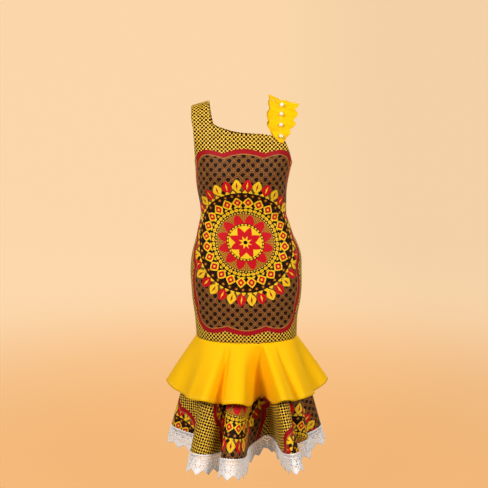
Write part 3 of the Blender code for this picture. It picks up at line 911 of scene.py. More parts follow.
# %% [markdown]
# ## The left strap and its ruffle
#
# The narrow strap is a plain strip over the shoulder. The ruffle on it is a long strip
# of yellow crepe, gathered along a running stitch down its middle until both edges
# wave. The waves come from one phase that runs faster at the tips, and small puckers
# fan out from the gathered line, which is what makes it read as gathered and not bent.

# %% Left strap
StrapRow = namedtuple("StrapRow", "z inner outer")
LEFT_STRAP = [
    StrapRow(0.000, 0.0910, 0.1310),
    StrapRow(-0.055, 0.0910, 0.1270),
    StrapRow(-0.090, 0.0925, 0.1235),
    StrapRow(-0.117, 0.0955, 0.1205),
]


def shoulder_path(share, end_level):
    """Level and side on a path from the front over the shoulder to the back."""
    if share <= 0.5:
        return mix(end_level, 0.0, share * 2), -1
    return mix(0.0, end_level, share * 2 - 1), 1


def strap_level(x):
    """The level just above the neckline at x."""
    return level_of_z(neck_z(x) + STRAP_FOOT_GAP, lambda level: turn_of_x(section_at(level), x))


def left_strap(columns=12, rows=80):
    foot = LEFT_STRAP[-1]

    def place(column, row):
        across = column / columns
        end_level = strap_level(mix(foot.inner, foot.outer, across))
        level, side = shoulder_path(row / rows, end_level)
        section = section_at(level)
        x = mix(look_up(LEFT_STRAP, section.z, "inner"), look_up(LEFT_STRAP, section.z, "outer"), across)
        turn = turn_of_x(section, x)
        return body_point(level, turn, side), body_cloth(level, turn, side)

    bm = cloth_grid(columns, rows, place)
    piece = finished_piece("left_strap_cloth", bm, WAX_PRINT, "left_strap")
    add_wall(piece, WALL)
    return piece


strap = left_strap()

# %% Ruffle
RuffleRow = namedtuple("RuffleRow", "z middle inner_width outer_width")
RUFFLE = [
    RuffleRow(0.000, 0.1120, 0.0360, 0.0480),
    RuffleRow(-0.030, 0.1105, 0.0345, 0.0440),
    RuffleRow(-0.060, 0.1085, 0.0365, 0.0400),
    RuffleRow(-0.082, 0.1075, 0.0340, 0.0330),
    RuffleRow(-0.100, 0.1075, 0.0260, 0.0240),
    RuffleRow(-0.115, 0.1080, 0.0150, 0.0150),
    RuffleRow(-0.127, 0.1110, 0.0040, 0.0040),
]
RUFFLE_CLEARANCE = 0.0006
RUFFLE_FLAT_SHARE = 0.22
RUFFLE_INNER_LIFT = 0.0046
RUFFLE_OUTER_LIFT = 0.0075
RUFFLE_WAVES = 5.2
RUFFLE_WAVE_CROWDING = 0.62
RUFFLE_WAVE_HEIGHT = 0.0046
RUFFLE_INNER_REACH = 0.0028
RUFFLE_OUTER_REACH = 0.0036
RUFFLE_EDGE_SWELL = 0.22
RUFFLE_ROWS = 360
PUCKERS = 24
PUCKER_INNER_HEIGHT = 0.0022
PUCKER_OUTER_HEIGHT = 0.0032
PUCKER_SHARPNESS = 0.8
RUFFLE_CLOTH_WIDTH = 0.090
RUFFLE_CLOTH_LENGTH = 0.42


def raised_point(level, x, side, height):
    """A point above the body's face, or above its shoulder line, at x."""
    turn = turn_of_x(section_at(level), x)
    return body_point(level, turn, side) + body_normal(max(level, RUFFLE_TOP), turn, side) * height


ruffle_end = level_of_z(RUFFLE[-1].z, lambda level: turn_of_x(section_at(level), RUFFLE[-1].middle))


def ruffle_point(across, along):
    """A point of the ruffle's under face. across runs from -1 to 1, along from 0 to 1."""
    level, side = shoulder_path(along, ruffle_end)
    z = section_at(level).z
    width = look_up(RUFFLE, z, "inner_width" if across < 0 else "outer_width")
    from_tip = 1 - abs(2 * along - 1)
    phase = math.pi * 2 * RUFFLE_WAVES * from_tip ** RUFFLE_WAVE_CROWDING
    wave = math.cos(phase) if across < 0 else -math.cos(phase)
    free = max(abs(across) - RUFFLE_FLAT_SHARE, 0.0) / (1 - RUFFLE_FLAT_SHARE)
    room = smooth(from_tip * 4)
    lift = RUFFLE_INNER_LIFT if across < 0 else RUFFLE_OUTER_LIFT
    height = RUFFLE_CLEARANCE + free * room * (lift + RUFFLE_WAVE_HEIGHT * wave)
    # Puckers: sharp at the stitched middle, and gone at the edge.
    pucker = math.sin(math.pi * PUCKERS * along + 1.3 * math.sin(11 * along) + (0.9 if across < 0 else 0.0))
    fade = smooth(abs(across) / 0.12) * smooth((0.95 - abs(across)) / 0.7)
    pucker_height = PUCKER_INNER_HEIGHT if across < 0 else PUCKER_OUTER_HEIGHT
    height += room * fade * pucker_height * (1 - abs(pucker)) ** PUCKER_SHARPNESS
    reach = RUFFLE_INNER_REACH if across < 0 else RUFFLE_OUTER_REACH
    # The edge swells out roundly on each wave and is nipped in between two of them.
    swell = wave + RUFFLE_EDGE_SWELL * (1 - wave * wave)
    x = look_up(RUFFLE, z, "middle") + across * (width + reach * swell * room * free)
    return raised_point(level, x, side, height)


def strap_ruffle(columns=44):
    def place(column, row):
        across, along = 2 * column / columns - 1, row / RUFFLE_ROWS
        cloth = (across * RUFFLE_CLOTH_WIDTH / 2, along * RUFFLE_CLOTH_LENGTH)
        return ruffle_point(across, along), cloth

    bm = cloth_grid(columns, RUFFLE_ROWS, place)
    piece = finished_piece("ruffle_cloth", bm, YELLOW_CREPE, "strap_ruffle")
    add_wall(piece, WALL, offset=1.0)
    return piece


ruffle = strap_ruffle()

# %% [markdown]
# ## Pearls
#
# Each pearl is a round bead with a drilled hole, sewn down across the gathered line. A
# bead is turned on the spot from a sphere: the two poles are pressed in to make the
# mouths of the hole, and a short arc of thread runs out of each mouth into the cloth.

# %% Pearls and their threads
PEARL_RADIUS = 0.006
PEARL_HEIGHTS = [-0.021, -0.046, -0.077, -0.109]
HOLE_RADIUS = 0.0016
HOLE_DEPTH = 0.0011
THREAD_START, THREAD_SWING, THREAD_SINK = 0.0014, 0.0026, 0.001


def pearl_seat(height):
    """Level, place and outward direction of a pearl on the ruffle's middle line."""
    level = level_of_z(height, lambda at: turn_of_x(section_at(at), look_up(RUFFLE, height, "middle")))
    x = look_up(RUFFLE, section_at(level).z, "middle")
    turn = turn_of_x(section_at(level), x)
    normal = body_normal(level, turn, -1)
    return raised_point(level, x, -1, RUFFLE_CLEARANCE + WALL + SEAM_GAP + PEARL_RADIUS), normal


def make_pearl(index, height):
    middle, normal = pearl_seat(height)
    turned = normal.to_track_quat("Z", "Y").to_matrix().to_4x4()
    lying = Matrix.Rotation(math.pi / 2, 4, "Y")
    bm = bmesh.new()
    matrix = Matrix.Translation(middle) @ turned @ lying
    bmesh.ops.create_uvsphere(bm, u_segments=32, v_segments=24, radius=PEARL_RADIUS, matrix=matrix)
    axis = (matrix.to_3x3() @ Vector((0, 0, 1))).normalized()
    for vert in bm.verts:
        reach = (vert.co - middle).dot(axis)
        off_axis = (vert.co - middle - axis * reach).length
        if off_axis < HOLE_RADIUS:
            vert.co -= axis * math.copysign(HOLE_DEPTH * (1 - off_axis / HOLE_RADIUS), reach)
    finished_piece("pearl_bead_{}".format(index), bm, NACRE, "pearl_{}".format(index))
    return middle, axis, normal


def thread_arc(bm, points, radius=0.00035, corners=6):
    """A thin round thread along a few points, extruded ring by ring."""
    rings = []
    for index, point in enumerate(points):
        ahead = points[min(index + 1, len(points) - 1)] - points[max(index - 1, 0)]
        matrix = Matrix.Translation(point) @ ahead.to_track_quat("Z", "Y").to_matrix().to_4x4()
        made = bmesh.ops.create_circle(bm, segments=corners, radius=radius, matrix=matrix)
        rings.append(made["verts"])
    for lower, upper in zip(rings, rings[1:]):
        edges = {edge for vert in lower + upper for edge in vert.link_edges}
        round_edges = [
            edge for edge in edges
            if all(vert in lower for vert in edge.verts) or all(vert in upper for vert in edge.verts)
        ]
        bmesh.ops.bridge_loops(bm, edges=round_edges)
    for ring in (rings[0], rings[-1]):
        bmesh.ops.contextual_create(bm, geom=ring)


threads = bmesh.new()
for index, height in enumerate(PEARL_HEIGHTS, start=1):
    middle_point, axis, normal = make_pearl(index, height)
    for way in (-1, 1):
        arc = []
        for step in range(6):
            swing = math.pi / 2 * step / 5
            out = axis * way * (PEARL_RADIUS - THREAD_START + THREAD_SWING * math.sin(swing))
            sunk = normal * (PEARL_RADIUS + THREAD_SINK) * (1 - math.cos(swing))
            arc.append(middle_point + out - sunk)
        thread_arc(threads, arc)
bmesh.ops.recalc_face_normals(threads, faces=threads.faces)
finished_piece("pearl_threads", threads, YELLOW_THREAD)

# %% [markdown]
# ## The flounces
#
# A circular flounce is cut as part of a flat ring. Its inner edge is as long as the hip
# seam, its hem is two or three times as long, and the spare length hangs in flutes. The
# table gives each flute by its crest and the valley after it, seen from above. A
# straight rib runs from each place on the seam to its place on the hem, since cloth
# that hangs from a straight grain hardly bends along its length, and a few softer
# ripples that die out upwards are laid over the ribs.

# %% Flute tables
LOWER_INSET = 0.0021
Flute = namedtuple("Flute", "crest crest_half crest_reach valley valley_reach lean length")
UPPER_FLUTES = [
    Flute(-89, 6, 0.253, -67, 0.218, 0, 0.181),
    Flute(-42, 8, 0.226, -28, 0.160, 0, 0.185),
    Flute(-11, 8, 0.215, 19, 0.087, 16, 0.187),
    Flute(32, 6, 0.230, 43, 0.204, 0, 0.185),
    Flute(59, 7, 0.230, 75, 0.218, 0, 0.183),
    Flute(90, 5, 0.257, 108, 0.182, 0, 0.181),
    Flute(125, 5, 0.238, 143, 0.168, 0, 0.184),
    Flute(162, 6, 0.240, 182, 0.158, 0, 0.186),
    Flute(200, 5, 0.240, 219, 0.168, 0, 0.186),
    Flute(237, 5, 0.238, 253, 0.180, 0, 0.184),
]
LOWER_FLUTES = [
    Flute(-92, 7, 0.238, -64, 0.176, 0, 0.318),
    Flute(-42, 8, 0.232, -28, 0.144, 0, 0.345),
    Flute(-12, 7, 0.238, 19, 0.067, 45, 0.345),
    Flute(36, 6, 0.245, 49, 0.170, 0, 0.340),
    Flute(63, 5, 0.212, 75, 0.192, 0, 0.326),
    Flute(92, 6, 0.238, 110, 0.164, 0, 0.322),
    Flute(127, 5, 0.242, 144, 0.152, 0, 0.334),
    Flute(163, 6, 0.246, 182, 0.142, 0, 0.338),
    Flute(200, 5, 0.246, 219, 0.152, 0, 0.338),
    Flute(237, 5, 0.242, 252, 0.162, 0, 0.330),
]

# A ripple is a soft ridge or trough that runs up from the hem, by turn in degrees.
Ripple = namedtuple("Ripple", "turn half_width top height")
UPPER_RIPPLES = [
    Ripple(-76, 4.5, 0.35, 0.0034), Ripple(-55, 5.0, 0.25, 0.0040), Ripple(-36, 3.0, 0.45, 0.0026),
    Ripple(-2, 4.0, 0.30, 0.0030), Ripple(38, 2.6, 0.40, 0.0024), Ripple(50, 3.4, 0.20, 0.0034),
    Ripple(68, 3.2, 0.42, 0.0026), Ripple(99, 3.6, 0.30, 0.0030), Ripple(134, 3.5, 0.38, 0.0030),
    Ripple(152, 4.0, 0.25, 0.0034), Ripple(191, 4.5, 0.35, 0.0030), Ripple(209, 3.5, 0.45, 0.0026),
    Ripple(228, 4.0, 0.28, 0.0032), Ripple(246, 3.2, 0.40, 0.0026),
    Ripple(13, 4.5, 0.05, -0.0070),
]
LOWER_RIPPLES = [
    Ripple(-80, 4.0, 0.45, -0.0034), Ripple(-52, 4.0, 0.35, -0.0040), Ripple(-34, 3.0, 0.50, -0.0030),
    Ripple(-5, 3.5, 0.55, -0.0026), Ripple(30, 2.8, 0.45, -0.0030), Ripple(43, 3.0, 0.35, -0.0034),
    Ripple(57, 3.4, 0.50, -0.0030), Ripple(84, 3.6, 0.40, -0.0036), Ripple(102, 3.4, 0.30, -0.0034),
    Ripple(136, 3.5, 0.38, -0.0036), Ripple(154, 4.0, 0.45, -0.0034), Ripple(190, 4.0, 0.35, -0.0036),
    Ripple(210, 3.5, 0.45, -0.0030), Ripple(229, 4.0, 0.30, -0.0036), Ripple(246, 3.2, 0.42, -0.0030),
    Ripple(9, 6.0, 0.05, -0.0190), Ripple(23, 3.5, 0.05, -0.0110),
]
print(len(UPPER_FLUTES), "flutes in each flounce")

# %% Places on a flounce
Knot = namedtuple("Knot", "turn hem_x hem_y length")
SEAM = SECTIONS[-1]


def seam_reach(turn, inset):
    """Distance of the hip seam from the middle of the body, in one direction."""
    across = abs(math.sin(turn)) / (SEAM.half_width - inset)
    along = abs(math.cos(turn)) / (SEAM.front - inset)
    return (across ** ROUNDNESS + along ** ROUNDNESS) ** (-1 / ROUNDNESS)


def hem_knots(flutes):
    """Three knots for each flute: the two sides of its crest, then its valley."""
    knots = []
    for flute in flutes:
        for turn, reach, lean in (
            (flute.crest - flute.crest_half, flute.crest_reach, 0),
            (flute.crest + flute.crest_half, flute.crest_reach, 0),
            (flute.valley, flute.valley_reach, flute.lean),
        ):
            aim = math.radians(turn + lean)
            knots.append(Knot(turn, reach * math.sin(aim), -reach * math.cos(aim), flute.length))
    return knots


def hem_place(knots, knot):
    """The hem at a knot number, which may be a fraction: turn of its top, plan point, length."""
    index = math.floor(knot)
    around = []
    for offset in (-1, 0, 1, 2):
        lap, place = divmod(index + offset, len(knots))
        around.append(knots[place]._replace(turn=knots[place].turn + 360 * lap))
    return Knot(*[spline(*values, knot - index) for values in zip(*around)])


Rib = namedtuple("Rib", "top out fall length turn")


def rib_at(knots, knot, inset):
    """One straight rib of a flounce, from the seam to the hem."""
    hem = hem_place(knots, knot)
    turn = math.radians(hem.turn)
    reach = seam_reach(turn, inset)
    top = Vector((SEAM.centre + reach * math.sin(turn), -reach * math.cos(turn), SEAM.z - SEAM_GAP))
    out = Vector((hem.hem_x - reach * math.sin(turn), hem.hem_y + reach * math.cos(turn), 0.0))
    return Rib(top, out, math.sqrt(hem.length ** 2 - out.length_squared), hem.length, hem.turn)


def rib_point(rib, share):
    return rib.top + rib.out * share - Vector((0.0, 0.0, rib.fall * share))


def even_knots(knots, first, last, columns):
    """Knot numbers for columns that are evenly spaced along the hem, and its length."""
    steps = round(60 * (last - first))
    fractions = [mix(first, last, step / steps) for step in range(steps + 1)]
    points = [hem_place(knots, fraction)[1:3] for fraction in fractions]
    run = [0.0]
    for start, end in zip(points, points[1:]):
        run.append(run[-1] + math.dist(start, end))
    chosen, step = [], 0
    for column in range(columns + 1):
        target = run[-1] * column / columns
        while step < steps - 1 and run[step + 1] < target:
            step += 1
        share = (target - run[step]) / (run[step + 1] - run[step])
        chosen.append(mix(fractions[step], fractions[step + 1], share))
    trim = 0.6 * SEAM_GAP / run[-1] * (last - first)
    chosen[0] += trim
    chosen[-1] -= trim
    return chosen, run[-1]


def side_knots(flutes):
    """Knots of the right side seam, the left one and the right one again."""
    left_flute = next(index for index, flute in enumerate(flutes) if flute.crest > 80)
    return -0.5, 3 * left_flute + 1.5, 3 * len(flutes) - 0.5


def ripple_height(ripples, turn, share):
    total = 0.0
    for ripple in ripples:
        off = (turn - ripple.turn) / ripple.half_width
        if abs(off) < 3 and share > ripple.top:
            total += ripple.height * smooth((share - ripple.top) / (1 - ripple.top)) * math.exp(-off * off)
    return total


def stand_off(flounce, rib, share):
    """How far the cloth stands outside the straight rib at a share of its length."""
    bulge = flounce.bulge * share * (1 - share) * rib.out.length
    return ripple_height(flounce.ripples, rib.turn, share) + bulge


def rib_normals(ribs):
    """The outward direction at the foot of each rib."""
    normals = []
    for index, rib in enumerate(ribs):
        ahead, behind = ribs[min(index + 1, len(ribs) - 1)], ribs[max(index - 1, 0)]
        across = rib_point(ahead, 0.7) - rib_point(behind, 0.7)
        down = rib_point(rib, 1.0) - rib_point(rib, 0.4)
        normals.append(down.cross(across).normalized())
    return normals


# %% Flounce pieces
Cut = namedtuple("Cut", "inner_radius outer_radius across along")
Flounce = namedtuple("Flounce", "flutes ripples inset bulge cut finish slot")
UPPER = Flounce(
    UPPER_FLUTES, UPPER_RIPPLES, 0.0, 0.05, Cut(0.122, 0.307, 0.0, 0.0), YELLOW_CREPE, "yellow_cloth")
LOWER = Flounce(
    LOWER_FLUTES, LOWER_RIPPLES, LOWER_INSET, 0.0, Cut(0.1725, 0.5175, 0.030, 0.300), WAX_PRINT, "wax_print")
FLOUNCE_ROWS = 30
FLOUNCE_COLUMN = 0.0045
# The seam edge is tucked up and in, and the turned hem rolls in a little.
TUCK, TUCK_INWARD = 0.003, 0.0012
HEM_ROLL = 0.0008


def ring_cloth(cut, hem_run, share):
    """The place of a point on the flat ring that a flounce is cut from."""
    angle = hem_run / cut.outer_radius
    radius = mix(cut.inner_radius, cut.outer_radius, share)
    return radius * math.sin(angle) + cut.across, -radius * math.cos(angle) + cut.along


def front_middle_run(knots, first):
    """The length of hem from the first knot to the middle of the front."""
    chosen, length = even_knots(knots, first, first + len(knots), 600)
    turns = [hem_place(knots, knot).turn for knot in chosen]
    return length * next(index for index, turn in enumerate(turns) if turn > 0) / 600


def flounce_half(name, flounce, first, last, node):
    """The front or the back of a flounce, and its ribs with their outward directions."""
    knots = hem_knots(flounce.flutes)
    side_seam = side_knots(flounce.flutes)[0]
    start_run = -front_middle_run(knots, side_seam)
    if first > side_seam:
        start_run += even_knots(knots, side_seam, first, 1)[1]
    _, hem_length = even_knots(knots, first, last, 1)
    columns = round(hem_length / FLOUNCE_COLUMN)
    chosen, _ = even_knots(knots, first, last, columns)
    ribs = [rib_at(knots, knot, flounce.inset) for knot in chosen]
    normals = rib_normals(ribs)

    def place(column, row):
        rib, share = ribs[column], 1 - row / FLOUNCE_ROWS
        run = start_run + hem_length * column / columns
        cloth = ring_cloth(flounce.cut, run, share)
        if row == FLOUNCE_ROWS:
            inward = Vector((rib.top.x, rib.top.y, 0.0)).normalized() * TUCK_INWARD
            return rib.top - inward + Vector((0.0, 0.0, TUCK)), cloth
        lift = stand_off(flounce, rib, share)
        lift -= HEM_ROLL * smooth((share - 0.93) / 0.01) * (1 - smooth((share - 0.94) / 0.03))
        return rib_point(rib, share) + normals[column] * lift, cloth

    bm = cloth_grid(columns, FLOUNCE_ROWS, place)
    piece = finished_piece(name, bm, flounce.finish, node)
    add_wall(piece, WALL)
    return piece, (ribs, normals)


right, left, right_again = side_knots(UPPER_FLUTES)
upper_front, upper_front_ribs = flounce_half(
    "upper_flounce_front_cloth", UPPER, right, left, "upper_flounce_front")
upper_back, upper_back_ribs = flounce_half(
    "upper_flounce_back_cloth", UPPER, left, right_again, "upper_flounce_back")
lower_front, lower_front_ribs = flounce_half(
    "lower_flounce_front_cloth", LOWER, right, left, "lower_flounce_front")
lower_back, lower_back_ribs = flounce_half(
    "lower_flounce_back_cloth", LOWER, left, right_again, "lower_flounce_back")

# %% [markdown]
# ## Guipure lace
#
# Guipure has no net behind it: cords and satin-stitched motifs are joined to each other
# by short bars. One pointed scallop is drawn as a function that says how deep a place
# lies inside a cord. A fine grid keeps only the cells inside, its edge is pulled to the
# line where the function is zero, and the scallop is then copied along the hem.

# %% One scallop of the lace, in millimetres from its upper middle
SCALLOP_WIDTH = 0.040
LACE_TOP = -5.0
LACE_CELL = 1.35
POINT_DEPTH, NOTCH_DEPTH = 60.0, 43.0


def leaf(x, y, middle_x, middle_y, lean, half_length, half_width):
    """Depth inside a pointed leaf whose long axis leans from the vertical."""
    sine, cosine = math.sin(lean), math.cos(lean)
    along = (x - middle_x) * sine + (y - middle_y) * cosine
    off = (x - middle_x) * cosine - (y - middle_y) * sine
    return half_width * (1 - (along / half_length) ** 2) - abs(off)


def cord_depth(x, y):
    """How deep a place lies inside the cords, in millimetres. Below zero is a gap."""
    side = abs(x)
    depth = max(
        2.4 - abs(y + 1.6 - 0.9 * math.cos(math.pi * x / 5)),
        1.5 - abs(y - 10.5 - 1.3 * math.cos(math.pi * x / 10)),
    )
    if -2 < y < 11:
        depth = max(depth, 1.35 - abs((x + 2.5) % 5.0 - 2.5))
    # A six-petalled flower in the middle, and half a smaller one at each side
    reach, angle = math.hypot(x, y - 24.5), math.atan2(y - 24.5, x)
    depth = max(depth, min(10.6 * (0.74 + 0.26 * math.cos(6 * angle)) - reach, reach - 1.1))
    reach, angle = math.hypot(side - 20, y - 22), math.atan2(y - 22, side - 20)
    depth = max(depth, min(8.4 * (0.76 + 0.24 * math.cos(5 * angle)) - reach, reach - 1.1))
    # Leaves that lead down to the point, and one in each shoulder of the scallop
    depth = max(depth, leaf(side, y, 5.4, 42.0, -0.45, 9.5, 3.1), leaf(x, y, 0.0, 44.5, 0.0, 10.0, 2.3))
    depth = max(depth, leaf(side, y, 12.5, 33.5, -0.85, 8.6, 3.0))
    # Bars that join the motifs
    for slope in (-1, 1):
        bar = (x * 0.7 + slope * (y - 24.5) * 0.7 + 3.4) % 6.8 - 3.4
        depth = max(depth, min(1.35 - abs(bar), y - 10))
    # The outer cord and its picots
    edge = mix(POINT_DEPTH, NOTCH_DEPTH, min(side / 20, 1.0) ** 0.9)
    below = (edge - 3.6 - y) * 0.77
    depth = max(min(depth, below + 0.5), 1.7 - abs(below))
    run = (side + 2.9) % 5.8 - 2.9
    picot = math.hypot(run, (y - edge + 2.4) * 0.8)
    return max(depth, 1.9 - picot if picot > 0.75 else picot - 0.75)


def scallop():
    """One scallop as a flat bmesh in metres, with its gaps cut and its edges drawn smooth."""
    columns = round(SCALLOP_WIDTH * 1000 / LACE_CELL)
    rows = round((POINT_DEPTH + 2 - LACE_TOP) / LACE_CELL)
    bm = bmesh.new()
    bmesh.ops.create_grid(bm, x_segments=columns, y_segments=rows, size=0.5)
    for vert in bm.verts:
        vert.co.x *= SCALLOP_WIDTH * 1000
        vert.co.y = mix(LACE_TOP, POINT_DEPTH + 2, 0.5 - vert.co.y)
    gaps = [face for face in bm.faces if cord_depth(*face.calc_center_median().xy) < 0]
    bmesh.ops.delete(bm, geom=gaps, context="FACES")
    step = 0.05
    for _ in range(2):
        for vert in bm.verts:
            if not vert.is_boundary or abs(vert.co.x) > SCALLOP_WIDTH * 500 - 0.01:
                continue
            x, y = vert.co.xy
            depth = cord_depth(x, y)
            slope = Vector((cord_depth(x + step, y) - depth, cord_depth(x, y + step) - depth)) / step
            move = -depth * slope / max(slope.length_squared, 0.2)
            if move.length > 0.42 * LACE_CELL:
                move *= 0.42 * LACE_CELL / move.length
            vert.co.xy += move
    return bm


# %% Lace along the hem
def lace_half(name, first, last, node):
    knots = hem_knots(LOWER_FLUTES)
    _, hem_length = even_knots(knots, first, last, 1)
    count = round(hem_length / SCALLOP_WIDTH)
    chosen, _ = even_knots(knots, first, last, count * 20)
    ribs = [rib_at(knots, knot, LOWER_INSET) for knot in chosen]
    normals = rib_normals(ribs)
    bm = scallop()
    template = bm.verts[:] + bm.edges[:] + bm.faces[:]
    for index in range(1, count):
        made = bmesh.ops.duplicate(bm, geom=template)
        moved = [part for part in made["geom"] if isinstance(part, bmesh.types.BMVert)]
        bmesh.ops.translate(bm, verts=moved, vec=(index * SCALLOP_WIDTH * 1000, 0, 0))
    bmesh.ops.remove_doubles(bm, verts=bm.verts, dist=0.05)
    layer = bm.loops.layers.uv.new("cloth")
    for face in bm.faces:
        for loop in face.loops:
            loop[layer].uv = (loop.vert.co.x / 1000, loop.vert.co.y / 1000)
    for vert in bm.verts:
        along = (vert.co.x / (SCALLOP_WIDTH * 1000) + 0.5) / count * (len(ribs) - 1)
        along = min(max(along, 0.0), len(ribs) - 1.001)
        index = int(along)
        share = 1 + vert.co.y / 1000 / ribs[index].length
        low, high = rib_point(ribs[index], share), rib_point(ribs[index + 1], share)
        point = low.lerp(high, along - index)
        normal = normals[index].lerp(normals[index + 1], along - index)
        hang = max(vert.co.y, 0.0) / POINT_DEPTH
        curl = 0.0016 * hang ** 2 * math.sin(0.9 * vert.co.x / 20 + 2 * math.sin(vert.co.x / 97))
        lap = 0.0009 * smooth((2.0 - vert.co.y) / 3.0)
        low, high = [stand_off(LOWER, rib, min(share, 1.0)) for rib in ribs[index : index + 2]]
        vert.co = point + normal * (curl + lap + mix(low, high, along - index))
    bm.normal_update()
    bmesh.ops.reverse_faces(bm, faces=bm.faces)
    piece = finished_piece(name, bm, GUIPURE, node)
    rounding = piece.vertex_groups.new(name="cord_middle")
    edge_verts = set()
    counts = {}
    for polygon in piece.data.polygons:
        for key in polygon.edge_keys:
            counts[key] = counts.get(key, 0) + 1
    for key, uses in counts.items():
        if uses == 1:
            edge_verts.update(key)
    rounding.add([vert.index for vert in piece.data.vertices if vert.index not in edge_verts], 1.0, "REPLACE")
    wall = add_wall(piece, 0.0019, offset=0.0)
    wall.vertex_group = "cord_middle"
    wall.thickness_vertex_group = 0.35
    return piece, hem_length


one_scallop = scallop()
lace_share = sum(face.calc_area() for face in one_scallop.faces) / (65 * 1000 * SCALLOP_WIDTH)
one_scallop.free()
print("The cords fill", round(100 * lace_share), "per cent of the lace")
right, left, right_again = side_knots(LOWER_FLUTES)
lace_front, lace_front_length = lace_half("lace_front_cord", right, left, "hem_lace_front")
lace_back, lace_back_length = lace_half("lace_back_cord", left, right_again, "hem_lace_back")

# %% [markdown]
# ## Stitches
#
# A machine stitch shows as a short raised lens of thread every few millimetres. One lens
# is made from a small sphere and laid again and again along a line a few millimetres
# inside each edge, its long side along the line and its flat side on the cloth.

# %% Rows of stitches
STITCH_SPACING = 0.0040
STITCH_LENGTH = 0.0027
STITCH_WIDTH = 0.0006


def sew(seats, line):
    """Add the seats of stitches along a line of points, each with the cloth's outward direction."""
    run, due = 0.0, STITCH_SPACING / 2
    for (start, normal), (end, _) in zip(line, line[1:]):
        length = (end - start).length
        while length > 1e-6 and due <= run + length:
            ahead = (end - start).normalized()
            across = normal.cross(ahead).normalized()
            turned = Matrix((ahead, across, ahead.cross(across))).transposed().to_4x4()
            size = Matrix.Diagonal((STITCH_LENGTH / 2, STITCH_WIDTH / 2, STITCH_WIDTH / 2, 1.0))
            seats.append(Matrix.Translation(start.lerp(end, (due - run) / length)) @ turned @ size)
            due += STITCH_SPACING
        run += length


def stitching(name, seats, thread):
    """One small lens of thread, copied until there is one for each seat, and put in place."""
    bm = bmesh.new()
    bmesh.ops.create_uvsphere(bm, u_segments=6, v_segments=4, radius=1.0)
    seat_number = bm.verts.layers.int.new("seat")
    made = 1
    while made < len(seats):
        copied = bmesh.ops.duplicate(bm, geom=bm.verts[:] + bm.edges[:] + bm.faces[:])
        for part in copied["geom"]:
            if isinstance(part, bmesh.types.BMVert):
                part[seat_number] += made
        made *= 2
    spare = [vert for vert in bm.verts if vert[seat_number] >= len(seats)]
    bmesh.ops.delete(bm, geom=spare, context="VERTS")
    for vert in bm.verts:
        vert.co = seats[vert[seat_number]] @ vert.co
    bm.verts.layers.int.remove(seat_number)
    return finished_piece(name, bm, thread)


def body_line(places, side):
    """Points and outward directions for places given as level and turn."""
    line = []
    for level, turn in places:
        normal = body_normal(max(level, PANEL_TOP), turn, side)
        line.append((body_point(level, turn, side) + normal * 0.0002, normal))
    return line


print_seats = []
last_column = 2 * PANEL_HALF_COLUMNS
neck_row = ROWS_BELOW_ARM + CHEST_ROWS
for side in (-1, 1):
    steps = [STRAP_COLUMNS + (last_column - STRAP_COLUMNS) * index / 120 for index in range(121)]
    neck = [(panel_level(column, neck_row) + 0.18, column) for column in steps]
    sew(print_seats, body_line([(level, column_turn(column, level)) for level, column in neck], side))
    for column, first_row, top_row in (
        (0.35, ROWS_BELOW_ARM + 0.2, neck_row + STRAP_ROWS),
        (STRAP_COLUMNS - 0.35, neck_row, neck_row + STRAP_ROWS),
        (last_column - 0.3, ROWS_BELOW_ARM + 0.2, neck_row),
    ):
        rows = [mix(first_row, top_row, index / 90) for index in range(91)]
        levels = [panel_level(column, row) for row in rows]
        sew(print_seats, body_line([(level, column_turn(column, level)) for level in levels], side))
stitching("neck_and_armhole_stitches", print_seats, GOLD_THREAD)


def hem_line(flounce, ribs, normals, share, lift=0.0002):
    """Points and outward directions along a flounce at one share of its depth."""
    line = []
    for rib, normal in zip(ribs, normals):
        height = lift + stand_off(flounce, rib, share)
        line.append((rib_point(rib, share) + normal * height, normal))
    return line


yellow_seats = []
for ribs, normals in (upper_front_ribs, upper_back_ribs):
    sew(yellow_seats, hem_line(UPPER, ribs, normals, 0.945))
for across in (-0.012, 0.012):
    ruffle_line = []
    for index in range(241):
        along = mix(0.04, 0.96, index / 240)
        point = ruffle_point(across * 3, along)
        level, side = shoulder_path(along, ruffle_end)
        normal = body_normal(max(level, RUFFLE_TOP), turn_of_x(section_at(level), 0.11), side)
        ruffle_line.append((point + normal * (WALL + 0.0001), normal))
    sew(yellow_seats, ruffle_line)
stitching("yellow_stitches", yellow_seats, YELLOW_THREAD)

lace_seats = []
for ribs, normals in (lower_front_ribs, lower_back_ribs):
    sew(lace_seats, hem_line(LOWER, ribs, normals, 0.996, 0.0018))
stitching("lace_stitches", lace_seats, WHITE_THREAD)

# %% [markdown]
# ## Floor, backdrop and light
#
# The dress is shown in a warm, evenly lit studio. A pale floor turns up into a far wall
# all round, which is a profile spun about the upright axis, so no edge shows behind the
# dress from any side. The paper has a light of its own, as a backdrop has its own lamps,
# and casts none on the dress, which three broad soft lamps light instead. The brightest
# of them stands at the upper left.

# %% Floor and backdrop
FLOOR_Z = -1.45
FLOOR_RADIUS = 3.2
BACKDROP_RADIUS = 6.0
BACKDROP_TOP = 5.0


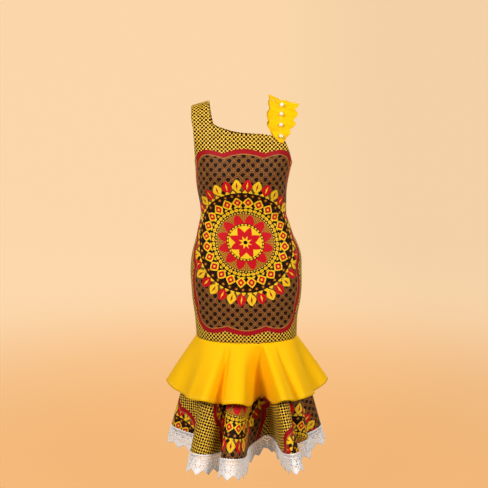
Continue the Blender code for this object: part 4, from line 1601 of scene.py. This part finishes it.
def studio_paper():
    finish, tree = new_material("matt_studio_paper")
    place = add(tree, "ShaderNodeTexCoord")
    # Painted light: the paper glows, more orange and dimmer near the middle of the floor and paler far off;
    # painted shade dims it towards the right side.
    reach = vector(tree, "LENGTH", place.outputs["Object"])
    reaches = {"Value": reach, "From Min": 1.6, "From Max": 4.2}
    far = add(tree, "ShaderNodeMapRange", reaches, interpolation_type="SMOOTHSTEP")
    glow = blend(tree, far, linear("f0b473"), linear("fedaae"))
    parts = add(tree, "ShaderNodeSeparateXYZ", (place.outputs["Object"],))
    fade = {"Value": parts.outputs[0], "From Min": 0.1, "From Max": 1.5, "To Min": 0.93, "To Max": 0.87}
    strength = add(tree, "ShaderNodeMapRange", fade, interpolation_type="SMOOTHSTEP")
    paper = {"Base Color": linear("5c4a38"), "Roughness": 0.95, "Specular IOR Level": 0.0}
    add_surface(tree, {"Emission Color": glow, "Emission Strength": strength}, paper)
    return finish


def backdrop_profile():
    """Points of the backdrop's profile: along the floor, round a wide cove and up the wall."""
    cove = BACKDROP_RADIUS - FLOOR_RADIUS
    points = [Vector((0.0, 0.0, FLOOR_Z))]
    for step in range(25):
        swing = math.pi / 2 * step / 24
        x, z = FLOOR_RADIUS + cove * math.sin(swing), FLOOR_Z + cove * (1 - math.cos(swing))
        points.append(Vector((x, 0.0, z)))
    return points + [Vector((BACKDROP_RADIUS, 0.0, BACKDROP_TOP))]


floor_bm = bmesh.new()
profile = [floor_bm.verts.new(point) for point in backdrop_profile()]
edges = [floor_bm.edges.new(pair) for pair in zip(profile, profile[1:])]
bmesh.ops.spin(
    floor_bm, geom=profile + edges, cent=(0, 0, 0), axis=(0, 0, 1),
    angle=2 * math.pi, steps=96, use_merge=True)
bmesh.ops.remove_doubles(floor_bm, verts=floor_bm.verts, dist=0.0001)
bmesh.ops.recalc_face_normals(floor_bm, faces=floor_bm.faces)
floor_mesh = bpy.data.meshes.new("studio_floor")
floor_bm.to_mesh(floor_mesh)
floor_bm.free()
floor_mesh.shade_smooth()
floor_mesh.materials.append(studio_paper())
studio_floor = bpy.data.objects.new("studio_floor", floor_mesh)
studio_floor.visible_diffuse = False
studio_floor.visible_shadow = False
bpy.context.scene.collection.objects.link(studio_floor)
print("The backdrop is", 2 * BACKDROP_RADIUS, "m wide")

# %% Lights
bpy.context.scene.view_settings.view_transform = "Standard"
world = bpy.data.worlds.new("studio")
bpy.context.scene.world = world
world.use_nodes = True
world.node_tree.nodes.clear()
sky = add(world.node_tree, "ShaderNodeBackground", {"Color": linear("fff4ec"), "Strength": 0.2})
add(world.node_tree, "ShaderNodeOutputWorld", {"Surface": sky})


def soft_light(name, place, size, power, colour):
    light = bpy.data.lights.new(name, "AREA")
    light.shape = "DISK"
    light.size = size
    light.energy = power
    light.color = linear(colour)[:3]
    lamp = bpy.data.objects.new(name, light)
    lamp.location = place
    lamp.rotation_euler = (Vector((0, 0, -0.6)) - Vector(place)).to_track_quat("-Z", "Y").to_euler()
    lamp.visible_camera = False
    bpy.context.scene.collection.objects.link(lamp)


soft_light("key_light", (-1.9, -2.5, 1.3), 1.1, 92, "fffaf6")
soft_light("fill_light", (2.1, -2.4, 1.0), 1.1, 66, "fffaf6")
soft_light("back_light", (0.6, 2.8, 1.2), 1.6, 60, "fffaf4")
